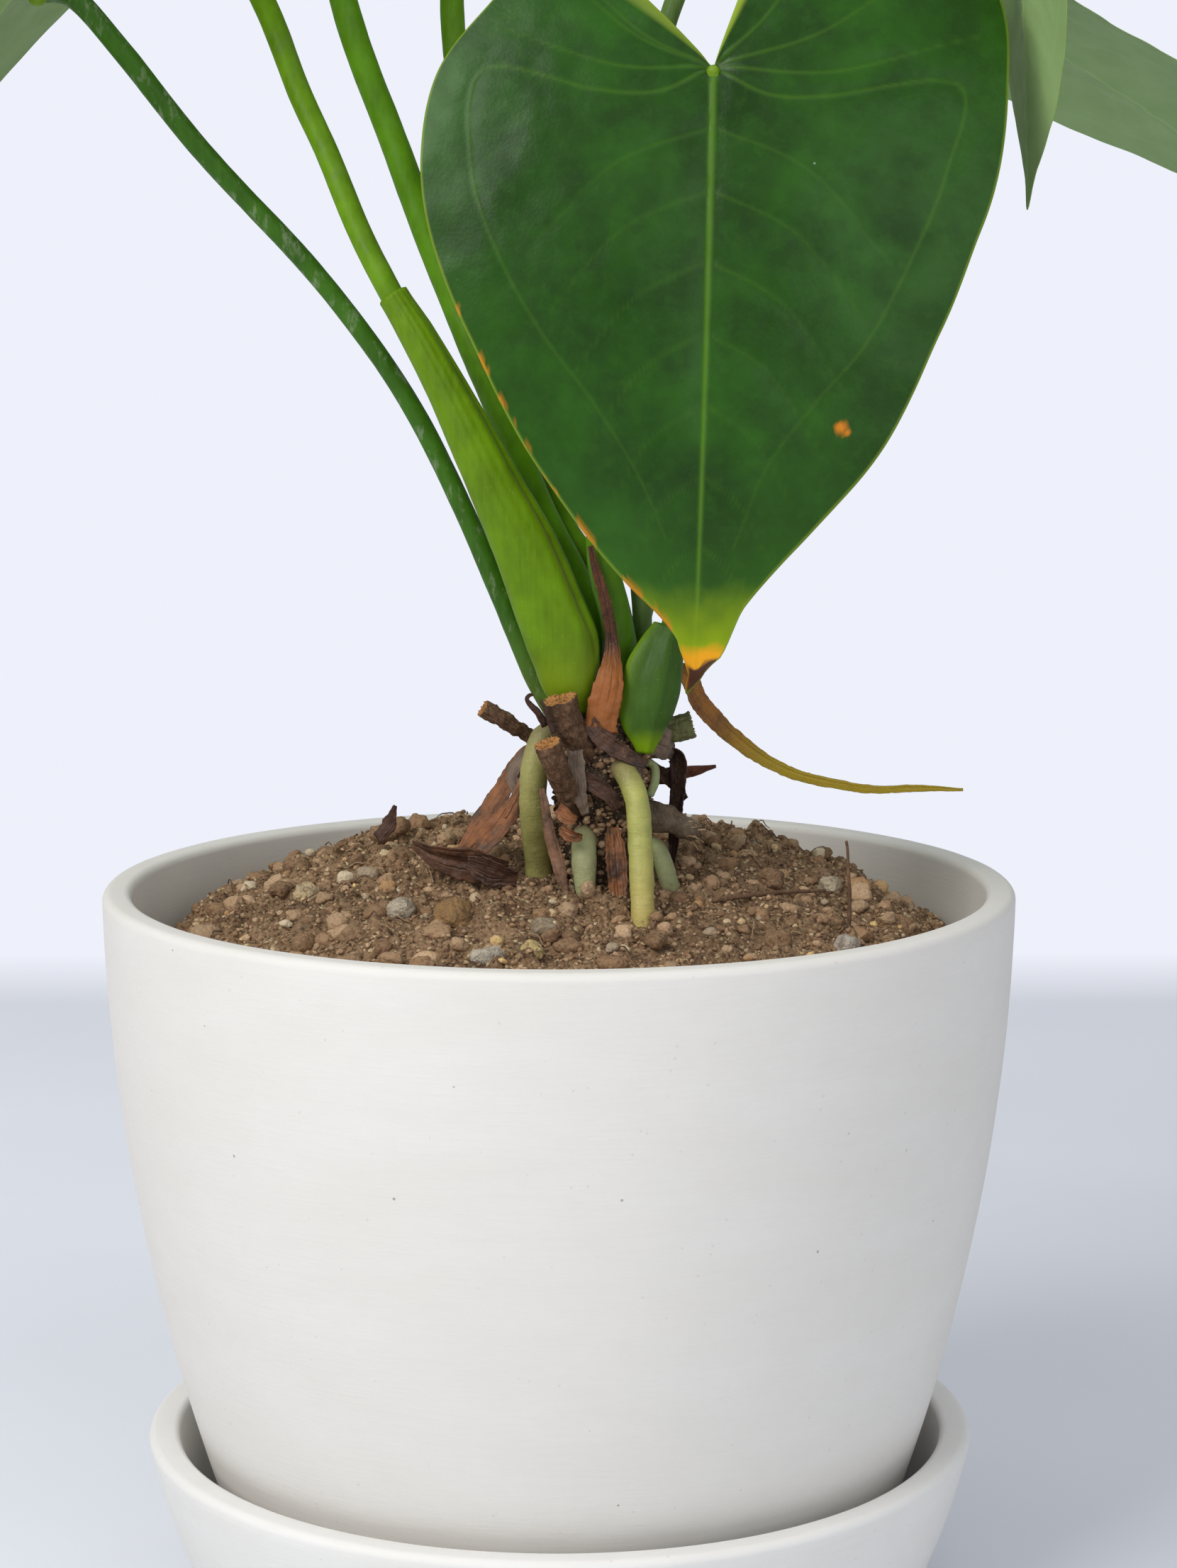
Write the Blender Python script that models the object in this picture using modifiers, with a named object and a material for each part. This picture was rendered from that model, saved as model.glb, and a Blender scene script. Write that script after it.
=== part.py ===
"""A potted anthurium: a stone-look pot on its saucer, filled with soil, and the plant that grows in it.

Lengths are in millimetres here and become metres as each mesh or curve is made.
The origin is the centre of the saucer's underside, +Z is up, and the front of the plant faces -Y.
"""

import math

import bmesh
import bpy
from mathutils import Matrix, Vector, noise

MM = 0.001
GAP = 0.3  # clearance between pieces that touch
MERGE = 0.00001  # metres within which points are one

# Pot and saucer
ROUND_STEPS = 48  # sides of the pot, the saucer and the soil
POT_RIM_Z = 162.0
POT_RIM_RADIUS = 100.0
POT_WALL = 6.4
POT_FLOOR = 8.0
POT_DRAW = 0.015  # how far the wall draws in for each millimetre down
POT_CURVE = 0.00116  # and for each square millimetre down
POT_EDGE = 1.6  # rounding of the rim
POT_FOOT = 5.0  # rounding at the foot
DRAIN_RADIUS = 6.0
SAUCER_RIM_Z = 40.0
SAUCER_RIM_RADIUS = 92.3
SAUCER_WALL = 6.9
SAUCER_FLOOR = 5.0
SAUCER_DRAW = 0.19
SAUCER_CURVE = 0.004
SAUCER_EDGE = 1.6
SAUCER_FOOT = 3.0

# Soil, heaped round the plant and falling to the wall
SOIL_PEAK = POT_RIM_Z + 5.5
SOIL_FALL = 23.5  # from the peak to the wall
SOIL_TILT = 0.16  # the heap leans up towards the back
SOIL_RADIUS = 93.0
SOIL_GAP = 0.9  # clearance to the pot, whose wall curves between its rings
SOIL_RINGS = (0.12, 0.26, 0.4, 0.55, 0.7, 0.83, 0.93)  # shares of the radius

# Leaves
BLADE_THICKNESS = 0.8
BLADE_RINGS = 4
# Half outline of a heart-shaped blade: angle from the tip in degrees, distance from the sinus over the length
HEART = (
    (0, 1.0), (3, 0.90), (8, 0.81), (20, 0.69), (40, 0.565), (65, 0.49),
    (90, 0.455), (112, 0.45), (132, 0.43), (150, 0.35), (162, 0.2),
)
# The front blade is wider on its right, where its lobe reaches further back
FRONT_RIGHT = (
    (0, 1.0), (2.5, 0.93), (5, 0.85), (13.5, 0.745), (22.5, 0.675), (41.5, 0.547), (60, 0.488),
    (89, 0.462), (104.5, 0.472), (120, 0.475), (135, 0.45), (150, 0.36), (162, 0.2),
)
FRONT_LEFT = (
    (0, 1.0), (2, 0.90), (7.5, 0.825), (21.5, 0.687), (40.5, 0.568), (71.5, 0.475),
    (88, 0.43), (104, 0.37), (120, 0.33), (135, 0.2),
)

# name: where the petiole joins, way of the midrib there, way the upper side faces,
# length, bend over the length in degrees, V of the two halves, curl of the margins per mm
LEAVES = {
    "front": ((31.1, -45.0, 336.6), (-0.03, -0.346, -0.938), (0, -0.938, 0.346), 129.5, 36, 0.10, 0.0030),
    "left": ((-111.0, 1.0, 358.0), (-0.72, -0.08, -0.69), (-0.66, 0.30, 0.69), 112.0, 42, 0.42, 0.0030),
    "right": ((100.3, 41.6, 350.9), (0.85, 0.28, -0.45), (0.41, 0.19, 1.05), 100.0, 10, 0.12, 0.0040),
    "right_hanging": ((94.0, -30.0, 363.6), (0.14, 0.12, -0.98), (0.985, 0.16, 0.15), 56.0, 10, 0.14, 0.0040),
    "upper_left": ((-114.0, 52.0, 404.0), (-0.86, 0.42, -0.28), (-0.25, 0.12, 0.96), 116.0, 34, 0.18, 0.0030),
    "top": ((-60.0, 20.0, 448.0), (-0.52, -0.82, -0.22), (-0.16, -0.18, 0.97), 126.0, 30, 0.16, 0.0030),
    "back": ((6.0, 68.0, 428.0), (0.18, 0.95, -0.24), (0.05, 0.24, 0.97), 120.0, 34, 0.16, 0.0030),
    "upper_right": ((72.0, 34.0, 411.0), (0.90, -0.40, -0.14), (0.14, -0.06, 0.97), 122.0, 26, 0.16, 0.0030),
}
OUTLINES = {"front": (FRONT_LEFT, FRONT_RIGHT)}

# Petioles: route up to a little below the blade, then the radii from foot to top
PETIOLES = {
    "left": (
        ((2, -6, 196), (-4, -6.5, 206), (-8.5, -6, 216), (-20.5, 0, 244), (-33.5, 4, 269),
         (-52, 7, 294), (-77, 8, 321), (-93, 8, 341), (-103.5, 7, 353)),
        (2.3, 2.1, 2.1, 2.3),
    ),
    "upper_left": (
        ((-31.5, -10, 283), (-36.6, -8, 292.4), (-42.3, -4, 303.5), (-49, 2, 319.4),
         (-56, 8, 334), (-64.5, 16, 354), (-78, 35, 375), (-97, 46, 393)),
        (2.5, 2.5, 2.2),
    ),
    "top": (
        ((7, -8, 197), (6.6, -8.6, 211), (5.6, -8.8, 225), (-4.8, -5, 246.5), (-16, 0, 273),
         (-24.2, 5, 292.3), (-33.2, 10, 316.4), (-46.7, 17, 353.4), (-54, 21, 390), (-58.5, 23, 426)),
        (3.1, 3.0, 2.9, 2.5),
    ),
    "back": (
        ((8.8, -1.5, 196), (9.6, -2.2, 214), (8.4, -1.8, 229), (-2.5, 2, 248.5), (-13.7, 16, 292.4),
         (-23, 30, 343.6), (-21, 40, 375), (-9, 54, 407)),
        (2.5, 2.5, 2.6, 2.3),
    ),
    "front": (
        ((13, -11, 197), (13.8, -12, 211), (12.2, -14.5, 222), (9.3, -17, 236), (9.4, -22, 263),
         (14.5, -27, 293), (22, -32, 318)),
        (3.4, 3.2, 2.8, 2.3),
    ),
    "upper_right": (
        ((16.8, -5.5, 195), (18, -6.5, 207), (18, -8.6, 217), (17.4, -9.5, 228), (15.6, -6, 248),
         (16.5, 8, 292), (20, 20, 331), (28, 27, 360), (48, 33, 393)),
        (2.0, 2.0, 2.1, 2.0),
    ),
    "right": (
        ((22.6, -18.6, 213), (24.8, -16, 222), (31.5, -8, 234), (43.6, 3, 254), (60.5, 11, 282.5),
         (73.5, 22, 304.6), (90, 35, 331)),
        (2.5, 2.4, 2.2, 2.0),
    ),
    "right_hanging": (
        ((12.5, 3, 193), (15, 4, 208), (26.5, 6, 250), (39.8, 1, 290), (59.2, -10, 323.7), (79, -22.5, 346.6)),
        (2.1, 2.0, 1.8, 1.6),
    ),
}

# The creeping stem that the roots and petioles grow from: centre and radius, from the buried end to the top
CROWN = (
    ((9, -12, 148), 6.0), ((9.2, -12, 156), 8.2), ((9.5, -12, 166), 9.2), ((9.5, -12, 178), 9.2),
    ((9.5, -12, 189), 9.9), ((9.2, -12.2, 196), 9.4), ((8.8, -12.6, 201), 7.6), ((8.6, -12.8, 204), 4.5),
)
CROWN_SIDES = 20
CROWN_LUMPS = 0.7
CROWN_LUMP_SIZE = 5.0

# Aerial roots, from the crown down into the soil, and their radii
ROOTS = {
    "aerial_root_left": (
        ((1.5, -13, 196.5), (-2.8, -15.6, 196.8), (-4.6, -17.2, 193.5), (-5.6, -18, 187), (-5.6, -16, 179.5),
         (-5, -12, 171.5), (-4.4, -9.5, 164), (-4, -8, 155)),
        (2.6, 3.0, 3.0, 2.6),
    ),
    "aerial_root_middle": (
        ((5.6, -18.5, 175.5), (5.2, -23.5, 174.5), (5.3, -26.5, 169), (5.6, -28, 162), (5.8, -28.6, 153)),
        (2.8, 2.6, 2.0, 1.6),
    ),
    "aerial_root_front": (
        ((12.5, -19, 190.5), (14.2, -24.2, 189.6), (16.4, -28, 184.5), (17.1, -31, 175.8), (17.3, -34, 169),
         (17.6, -37, 161), (17.8, -38.6, 152)),
        (2.6, 2.6, 2.6, 2.2),
    ),
    "aerial_root_right": (
        ((16, -14.5, 171.5), (20.4, -17, 172.6), (22.2, -18.4, 169.5), (24, -20, 163.3), (25, -21, 155)),
        (2.0, 2.1, 2.0, 1.6),
    ),
    "aerial_root_thin": (
        ((17, -14.5, 191.2), (20.2, -16, 190.2), (20.6, -17, 187.2), (19.6, -17.4, 184.4)),
        (0.9, 0.9, 0.9),
    ),
    "aerial_root_knotted": (
        ((15, -15.6, 180.4), (19.5, -17.6, 179.7), (23.5, -18, 178.6), (28.3, -18, 176.4)),
        (3.3, 3.6, 3.1, 2.2),
    ),
}

# Stubs of petioles that were cut off, from the crown to the cut face
STUBS = {
    "cut_stub_double": (
        ((6.3, -18.6, 191.5), (4.4, -22.2, 195.5), (1.6, -25.2, 201), (0, -27, 206)), (2.4, 2.6, 3.1),
    ),
    "cut_stub_front": (
        ((3.4, -20.2, 181.6), (2.2, -23.6, 184), (-0.1, -27.8, 190.5), (-2.6, -30.2, 197)), (2.3, 2.3, 2.6),
    ),
    "cut_stub_thin": (
        ((-0.2, -9.6, 190.6), (-6.2, -11, 195.6), (-11.6, -13, 199.6), (-16.3, -14, 202.4)), (1.4, 1.4, 1.9),
    ),
    "cut_stub_right": (
        ((15.6, -11.8, 193.4), (21, -12, 196.2), (24.7, -12, 197.5), (28.6, -12, 198.6)), (2.5, 2.5, 2.7),
    ),
}

# Sheaths: centre, half width and half depth of each section, from the foot up
SHEATHS = {
    "sheath_left": (
        ((4.0, -17.8, 202), 2.6, 2.2), ((3.2, -18.2, 205), 5.0, 3.8), ((2.2, -18.8, 209.5), 6.5, 4.6),
        ((0.8, -19.4, 217), 7.8, 5.0), ((-2.6, -19.2, 226), 7.5, 4.6), ((-7.4, -18.6, 238), 6.9, 4.2),
        ((-15.0, -17, 253.5), 5.5, 3.9), ((-22.8, -14, 269), 4.5, 3.6), ((-30.0, -11, 282), 3.8, 3.4),
        ((-35.2, -8.8, 290.2), 3.3, 3.1),
    ),
    "sheath_right": (
        ((18.3, -21.6, 193.8), 1.4, 1.0), ((18.4, -21.6, 197), 3.6, 2.2), ((18.4, -21.2, 201.5), 5.6, 3.2),
        ((19.4, -20.6, 206.5), 6.3, 3.6), ((20.6, -20, 211.5), 6.0, 3.6), ((22.2, -19, 216.5), 4.6, 3.3),
        ((23.6, -17.8, 220), 3.4, 3.0),
    ),
}

# Dried bracts and leaf remains: route, widths along it, the way across, cupping
DRY = {
    "dry_bract_upright": (
        ((8.9, -24.8, 198.6), (9.2, -25, 203), (10.6, -24.6, 209.5), (11.2, -20.4, 217), (9.8, -21.4, 226),
         (7.8, -21.8, 233), (6.6, -21.4, 238)),
        (6.6, 7.0, 5.0, 2.6, 2.4, 2.2, 1.2), (1, 0, 0), 0.10,
    ),
    "dry_bract_curling": (
        ((19.8, -1.5, 196), (23.5, -3.6, 204), (27.2, -6, 209), (30, -6, 203.2), (34.6, -5, 197.8),
         (42.7, -4, 190.9), (51.7, -3, 186.2), (60.8, -2, 183.9), (69.6, -2, 182.7), (79, -2, 183),
         (88.5, -2, 182.7)),
        (4.4, 4.6, 4.6, 4.4, 3.8, 3.0, 2.4, 2.1, 1.8, 1.5, 0.6), (0.45, 0.45, 0.75), 0.10,
    ),
    "dry_bract_spike": (
        ((19.4, -6.4, 186), (24, -7, 186.6), (29, -8, 187.8), (34, -9, 189)),
        (3.4, 3.6, 2.4, 0.6), (0, 0.4, 1), 0.10,
    ),
    "dry_bract_hanging": (
        ((19.9, -9.6, 192.4), (24.2, -10.6, 192.6), (26, -11.2, 190), (25.8, -11.4, 183), (25, -11.4, 175),
         (24.6, -11.4, 168.2)),
        (5.5, 5.0, 4.2, 3.8, 3.2, 1.4), (0.75, -0.66, 0), 0.10,
    ),
    "dry_bract_left": (
        ((-1.4, -4.6, 191), (-6.4, -5, 191.8), (-10.6, -6, 185.7), (-15.3, -8, 178.4), (-21.4, -10, 170.4)),
        (4.0, 5.0, 6.5, 7.0, 3.0), (0.66, -0.75, 0), 0.08,
    ),
    "dry_leaf_curled": (
        ((-31.6, -15, 173), (-26, -19, 170.8), (-18, -21.4, 169.6), (-11, -21.6, 168.6)),
        (2.0, 6.0, 8.6, 4.0), (0.1, -0.35, 1), 0.08,
    ),
    "dry_strip_front": (
        ((-3.6, -24.4, 186.6), (-2.2, -25.6, 178), (-0.4, -26.6, 171), (1.0, -27.6, 166.4),
         (1.9, -28.2, 163.8)),
        (1.2, 2.0, 2.8, 2.6, 0.8), (1, -0.3, 0), 0.05,
    ),
}
DRY_THICKNESS = 0.5
DRY_LANES = (-0.5, -0.17, 0.17, 0.5)  # places across a strip, over its width

# Larger stones in the soil: place over the soil, half sizes, turn in degrees
STONES = (
    ((-54.5, -12.7), (3.0, 2.6, 2.2), 20), ((-33.6, -31.7), (3.6, 3.0, 2.6), 75),
    ((-22.2, -37.6), (4.8, 4.0, 3.6), 10), ((-3.0, -44.0), (3.4, 2.8, 2.2), 50),
    ((-5.7, -55.5), (3.2, 2.6, 2.2), 120), ((-14.5, -57.5), (3.8, 3.0, 2.4), 160),
    ((59.3, -4.4), (3.0, 2.6, 2.2), 35), ((60.2, -38.0), (3.2, 2.8, 2.4), 80),
)
STONE_SINK = 0.45  # share of the height below the soil
STONE_UNEVEN = 0.16

# Twigs: the upright one stands in the soil, the other lies just above it
TWIGS = {
    "twig_upright": (((61.2, -31.5, 149), (61.4, -31.5, 163), (60.6, -31, 176)), (0.5, 0.45, 0.3)),
    "twig_lying": (((33, -29, 163.2), (45, -23, 163.6), (57.5, -14.5, 162.6)), (0.6, 0.55, 0.35)),
}

LOOKS = {  # base colour, roughness
    "pot_stone": ((0.74, 0.73, 0.68, 1), 0.75),
    "saucer_stone": ((0.72, 0.72, 0.68, 1), 0.75),
    "soil_brown": ((0.13, 0.085, 0.055, 1), 0.95),
    "crown_brown": ((0.12, 0.08, 0.05, 1), 0.9),
    "root_green": ((0.42, 0.46, 0.16, 1), 0.6),
    "petiole_green": ((0.16, 0.33, 0.02, 1), 0.4),
    "sheath_green": ((0.22, 0.38, 0.04, 1), 0.45),
    "leaf_green": ((0.02, 0.11, 0.02, 1), 0.35),
    "stub_brown": ((0.22, 0.12, 0.06, 1), 0.8),
    "bract_rust": ((0.20, 0.07, 0.025, 1), 0.7),
    "stone_tan": ((0.52, 0.42, 0.26, 1), 0.85),
    "twig_brown": ((0.16, 0.09, 0.05, 1), 0.8),
}


def clear_scene():
    for thing in list(bpy.data.objects):
        bpy.data.objects.remove(thing)


def new_collection(name):
    collection = bpy.data.collections.new(name)
    bpy.context.scene.collection.children.link(collection)
    return collection


def material(look):
    """The look's material, made the first time that it is asked for."""
    if look in bpy.data.materials:
        return bpy.data.materials[look]
    made = bpy.data.materials.new(look)
    made.use_nodes = True
    shader = made.node_tree.nodes["Principled BSDF"]
    colour, roughness = LOOKS[look]
    shader.inputs["Base Color"].default_value = colour
    shader.inputs["Roughness"].default_value = roughness
    shader.inputs["Metallic"].default_value = 0.0
    made.diffuse_color = colour
    return made


def place(name, data, look):
    """An object of the plant or its pot, in their collection."""
    thing = bpy.data.objects.new(name, data)
    data.materials.append(material(look))
    PARTS.objects.link(thing)
    return thing


def mesh_object(name, shape, look, smooth=True):
    """An object from a bmesh whose points are in millimetres."""
    bmesh.ops.scale(shape, vec=(MM, MM, MM), verts=shape.verts)
    data = bpy.data.meshes.new(name)
    shape.to_mesh(data)
    shape.free()
    if smooth:
        data.shade_smooth()
    return place(name, data, look)


def spread(values, share):
    """The value at this share, from 0 to 1, of the way through evenly spaced values."""
    at = share * (len(values) - 1)
    low = min(int(at), len(values) - 2)
    return values[low] + (values[low + 1] - values[low]) * (at - low)


def smooth_route(points, per_span=2):
    """Points of a Catmull-Rom curve through the given ones."""
    known = [Vector(point) for point in points]
    padded = [2 * known[0] - known[1], *known, 2 * known[-1] - known[-2]]
    route = []
    for before, start, end, after in zip(padded, padded[1:], padded[2:], padded[3:]):
        for step in range(per_span):
            t = step / per_span
            bend = 2 * before - 5 * start + 4 * end - after
            twist = 3 * start - before - 3 * end + after
            route.append(start + 0.5 * ((end - before) * t + bend * t**2 + twist * t**3))
    return [*route, known[-1]]


def arc(centre_r, centre_z, radius, from_deg, to_deg, steps=2):
    """Profile points on an arc, with 0 degrees outwards and 90 degrees up."""
    turn = (to_deg - from_deg) / steps
    angles = [math.radians(from_deg + turn * step) for step in range(steps + 1)]
    return [(centre_r + radius * math.cos(a), centre_z + radius * math.sin(a)) for a in angles]


def turned(name, profile, look, closed):
    """A body turned about Z from a profile of (radius, height) that runs down its outer side."""
    shape = bmesh.new()
    points = [shape.verts.new((radius, 0, height)) for radius, height in profile]
    for start, end in zip(points, points[1:]):
        shape.edges.new((start, end))
    if closed:
        shape.edges.new((points[-1], points[0]))
    thing = mesh_object(name, shape, look, smooth=False)
    screw = thing.modifiers.new("turn", "SCREW")
    screw.axis = "Z"
    screw.steps = ROUND_STEPS
    screw.render_steps = ROUND_STEPS
    screw.use_merge_vertices = not closed
    screw.merge_threshold = MERGE
    screw.use_smooth_shade = True
    return thing


def pot_outer(z):
    drop = POT_RIM_Z - z
    return POT_RIM_RADIUS - POT_DRAW * drop - POT_CURVE * drop**2


def pot_inner(z):
    return pot_outer(z) - POT_WALL


def saucer_outer(z):
    drop = SAUCER_RIM_Z - z
    return SAUCER_RIM_RADIUS - SAUCER_DRAW * drop - SAUCER_CURVE * drop**2


def heights(top, bottom, count):
    return [top + (bottom - top) * step / (count - 1) for step in range(count)]


def build_pot():
    foot_z = SAUCER_FLOOR + GAP
    floor_z = foot_z + POT_FLOOR
    top = POT_RIM_Z - POT_EDGE
    profile = [(pot_outer(z), z) for z in heights(top, foot_z + POT_FOOT, 5)]
    foot_r = pot_outer(foot_z + POT_FOOT) - POT_FOOT
    profile += arc(foot_r, foot_z + POT_FOOT, POT_FOOT, -30, -90)
    profile += [(DRAIN_RADIUS, foot_z), (DRAIN_RADIUS, floor_z)]
    inner_r = pot_inner(floor_z + POT_FOOT) - POT_FOOT
    profile += arc(inner_r, floor_z + POT_FOOT, POT_FOOT, -90, -30)
    profile += [(pot_inner(z), z) for z in heights(floor_z + POT_FOOT, top, 5)]
    profile += arc(pot_inner(top) + POT_EDGE, top, POT_EDGE, 150, 90)
    profile += arc(pot_outer(top) - POT_EDGE, top, POT_EDGE, 90, 30)
    turned("pot", profile, "pot_stone", closed=True)


def build_saucer():
    top = SAUCER_RIM_Z - SAUCER_EDGE
    inner_bottom = SAUCER_FLOOR + SAUCER_FOOT
    inner_r = saucer_outer(inner_bottom) - SAUCER_WALL - SAUCER_FOOT
    profile = [(0, SAUCER_FLOOR)] + arc(inner_r, inner_bottom, SAUCER_FOOT, -90, -20)
    profile += [(saucer_outer(z) - SAUCER_WALL, z) for z in heights(inner_bottom, top, 4)]
    profile += arc(saucer_outer(top) - SAUCER_WALL + SAUCER_EDGE, top, SAUCER_EDGE, 150, 90)
    profile += arc(saucer_outer(top) - SAUCER_EDGE, top, SAUCER_EDGE, 90, 30)
    profile += [(saucer_outer(z), z) for z in heights(top, SAUCER_FOOT, 5)]
    profile += arc(saucer_outer(SAUCER_FOOT) - SAUCER_FOOT, SAUCER_FOOT, SAUCER_FOOT, -30, -90)
    profile += [(0, 0)]
    turned("saucer", profile, "saucer_stone", closed=False)


def soil_z(x, y):
    share = min(math.hypot(x, y) / SOIL_RADIUS, 1)
    return SOIL_PEAK - SOIL_FALL * share**3 + SOIL_TILT * y * (1 - share**2)


def ring(shape, radius, height):
    """A level ring of points about Z. The height is a number or a function of x and y."""
    made = []
    for step in range(ROUND_STEPS):
        angle = 2 * math.pi * step / ROUND_STEPS
        x, y = radius * math.cos(angle), radius * math.sin(angle)
        made.append(shape.verts.new((x, y, height(x, y) if callable(height) else height)))
    return made


def bridge(shape, upper, lower):
    """Faces between two rings of points, facing outwards when upper is above lower."""
    count = len(upper)
    for step in range(count):
        after = (step + 1) % count
        shape.faces.new((lower[step], lower[after], upper[after], upper[step]))


def fan(shape, centre, loop):
    for start, end in zip(loop, loop[1:] + loop[:1]):
        shape.faces.new((centre, start, end))


def build_soil():
    """Soil that fills the pot from its floor to the heap."""
    bottom = SAUCER_FLOOR + GAP + POT_FLOOR + GAP
    edge_z = SOIL_PEAK - SOIL_FALL
    shape = bmesh.new()
    rings = [ring(shape, share * SOIL_RADIUS, soil_z) for share in SOIL_RINGS]
    sides = heights(edge_z, bottom + POT_FOOT, 4)
    rings += [ring(shape, pot_inner(z) - SOIL_GAP, z) for z in sides]
    rings.append(ring(shape, pot_inner(bottom + POT_FOOT) - POT_FOOT - SOIL_GAP, bottom))
    for upper, lower in zip(rings, rings[1:]):
        bridge(shape, upper, lower)
    fan(shape, shape.verts.new((0, 0, soil_z(0, 0))), rings[0])
    fan(shape, shape.verts.new((0, 0, bottom)), rings[-1][::-1])
    return mesh_object("soil", shape, "soil_brown")


def stem(name, route, radii, look, per_span=2):
    """A round stem along a smooth curve, closed at both ends."""
    points = smooth_route(route, per_span)
    curve = bpy.data.curves.new(name, "CURVE")
    curve.dimensions = "3D"
    curve.bevel_depth = MM
    curve.bevel_resolution = 2
    curve.use_fill_caps = True
    spline = curve.splines.new("POLY")
    spline.points.add(len(points) - 1)
    for step, point in enumerate(points):
        spline.points[step].co = (*(point * MM), 1)
        spline.points[step].radius = spread(radii, step / (len(points) - 1))
    return place(name, curve, look)


def loft(name, sections, look, sides=12):
    """A closed body through oval sections, each square to the line of centres."""
    centres = [Vector(section[0]) for section in sections]
    shape = bmesh.new()
    loops = []
    for index, (_, half_width, half_depth) in enumerate(sections):
        way = centres[min(index + 1, len(centres) - 1)] - centres[max(index - 1, 0)]
        back = way.cross(Vector((1, 0, 0))).normalized()
        side = back.cross(way).normalized()
        loop = []
        for step in range(sides):
            angle = 2 * math.pi * step / sides
            offset = side * half_width * math.cos(angle) + back * half_depth * math.sin(angle)
            loop.append(shape.verts.new(centres[index] + offset))
        loops.append(loop)
    for lower, upper in zip(loops, loops[1:]):
        bridge(shape, upper, lower)
    shape.faces.new(loops[0][::-1])
    shape.faces.new(loops[-1])
    bmesh.ops.recalc_face_normals(shape, faces=shape.faces)
    return mesh_object(name, shape, look)


def build_crown():
    """The stout creeping stem, lumpy with old leaf scars."""
    sections = [(centre, radius, radius) for centre, radius in CROWN]
    crown = loft("crown", sections, "crown_brown", CROWN_SIDES)
    for vertex in crown.data.vertices:
        lump = noise.noise(vertex.co / (CROWN_LUMP_SIZE * MM)) * CROWN_LUMPS * MM
        axis = Vector((CROWN[3][0][0] * MM, CROWN[3][0][1] * MM, vertex.co.z))
        vertex.co += (vertex.co - axis).normalized() * lump
    return crown


def ribbon(name, route, widths, across, cup, look):
    """A thin dried strip along a smooth curve, its edges lifted by the cup."""
    points = smooth_route(route)
    shape = bmesh.new()
    rows = []
    for step, point in enumerate(points):
        way = points[min(step + 1, len(points) - 1)] - points[max(step - 1, 0)]
        normal = way.cross(Vector(across)).normalized()
        side = normal.cross(way).normalized()
        width = spread(widths, step / (len(points) - 1))
        lift = [normal * cup * width * (4 * lane**2) for lane in DRY_LANES]
        rows.append([shape.verts.new(point + side * lane * width + up) for lane, up in zip(DRY_LANES, lift)])
    for row, after in zip(rows, rows[1:]):
        for lane in range(len(DRY_LANES) - 1):
            shape.faces.new((row[lane], row[lane + 1], after[lane + 1], after[lane]))
    thing = mesh_object(name, shape, look)
    thicken(thing, DRY_THICKNESS)
    return thing


def thicken(thing, thickness):
    shell = thing.modifiers.new("thickness", "SOLIDIFY")
    shell.thickness = thickness * MM
    shell.offset = 0


def leaf_axes(name):
    """Sinus point, and unit vectors along the midrib, out of the upper side and to the blade's right."""
    attach, along, facing = (Vector(value) for value in LEAVES[name][:3])
    along.normalize()
    facing = (facing - along * facing.dot(along)).normalized()
    return attach, along, facing, facing.cross(along)


def blade_point(name, forward, sideways):
    """A flat point of the blade taken onto its bent, folded and curled shape."""
    attach, along, facing, right = leaf_axes(name)
    length, bend, fold, curl = LEAVES[name][3:]
    turn = math.radians(bend) / length
    reach, sink = math.sin(turn * forward) / turn, (1 - math.cos(turn * forward)) / turn
    normal = facing * math.cos(turn * forward) + along * math.sin(turn * forward)
    lift = fold * abs(sideways) - curl * sideways**2
    return attach + along * reach - facing * sink + right * sideways + normal * lift


def build_leaf(name):
    """A heart-shaped blade, as spokes from the sinus to the outline."""
    length = LEAVES[name][3]
    left, right = OUTLINES.get(name, (HEART, HEART))
    outline = [(-angle, share) for angle, share in reversed(left[1:])] + list(right)
    shape = bmesh.new()
    centre = shape.verts.new(blade_point(name, 0, 0))
    spokes = []
    for angle, share in outline:
        spoke = []
        for step in range(1, BLADE_RINGS + 1):
            reach = share * length * step / BLADE_RINGS
            forward, sideways = reach * math.cos(math.radians(angle)), reach * math.sin(math.radians(angle))
            spoke.append(shape.verts.new(blade_point(name, forward, sideways)))
        spokes.append(spoke)
    for spoke, after in zip(spokes, spokes[1:]):
        shape.faces.new((centre, spoke[0], after[0]))
        for step in range(BLADE_RINGS - 1):
            shape.faces.new((spoke[step], spoke[step + 1], after[step + 1], after[step]))
    thing = mesh_object("leaf_" + name, shape, "leaf_green")
    thicken(thing, BLADE_THICKNESS)


def build_petiole(name):
    """A leaf's stalk, which ends just under its sinus."""
    route, radii = PETIOLES[name]
    attach, along, facing, _ = leaf_axes(name)
    clear = radii[-1] + BLADE_THICKNESS / 2 + GAP
    end = attach + along * radii[-1] - facing * clear
    return stem("petiole_" + name, (*route, end), radii, "petiole_green")


def build_stone(index, place_xy, half_sizes, turn):
    """A rounded stone, partly sunk in the soil."""
    x, y = place_xy
    sink = half_sizes[2] * (1 - 2 * STONE_SINK)
    shape = bmesh.new()
    bmesh.ops.create_icosphere(shape, subdivisions=2, radius=1)
    for vertex in shape.verts:
        vertex.co *= 1 + STONE_UNEVEN * noise.noise(vertex.co * 1.3 + Vector((index * 7.3, 0, 0)))
    bmesh.ops.scale(shape, vec=half_sizes, verts=shape.verts)
    bmesh.ops.rotate(shape, matrix=Matrix.Rotation(math.radians(turn), 3, "Z"), verts=shape.verts)
    bmesh.ops.translate(shape, vec=(x, y, soil_z(x, y) + sink), verts=shape.verts)
    return mesh_object(f"stone_{index + 1}", shape, "stone_tan")


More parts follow.
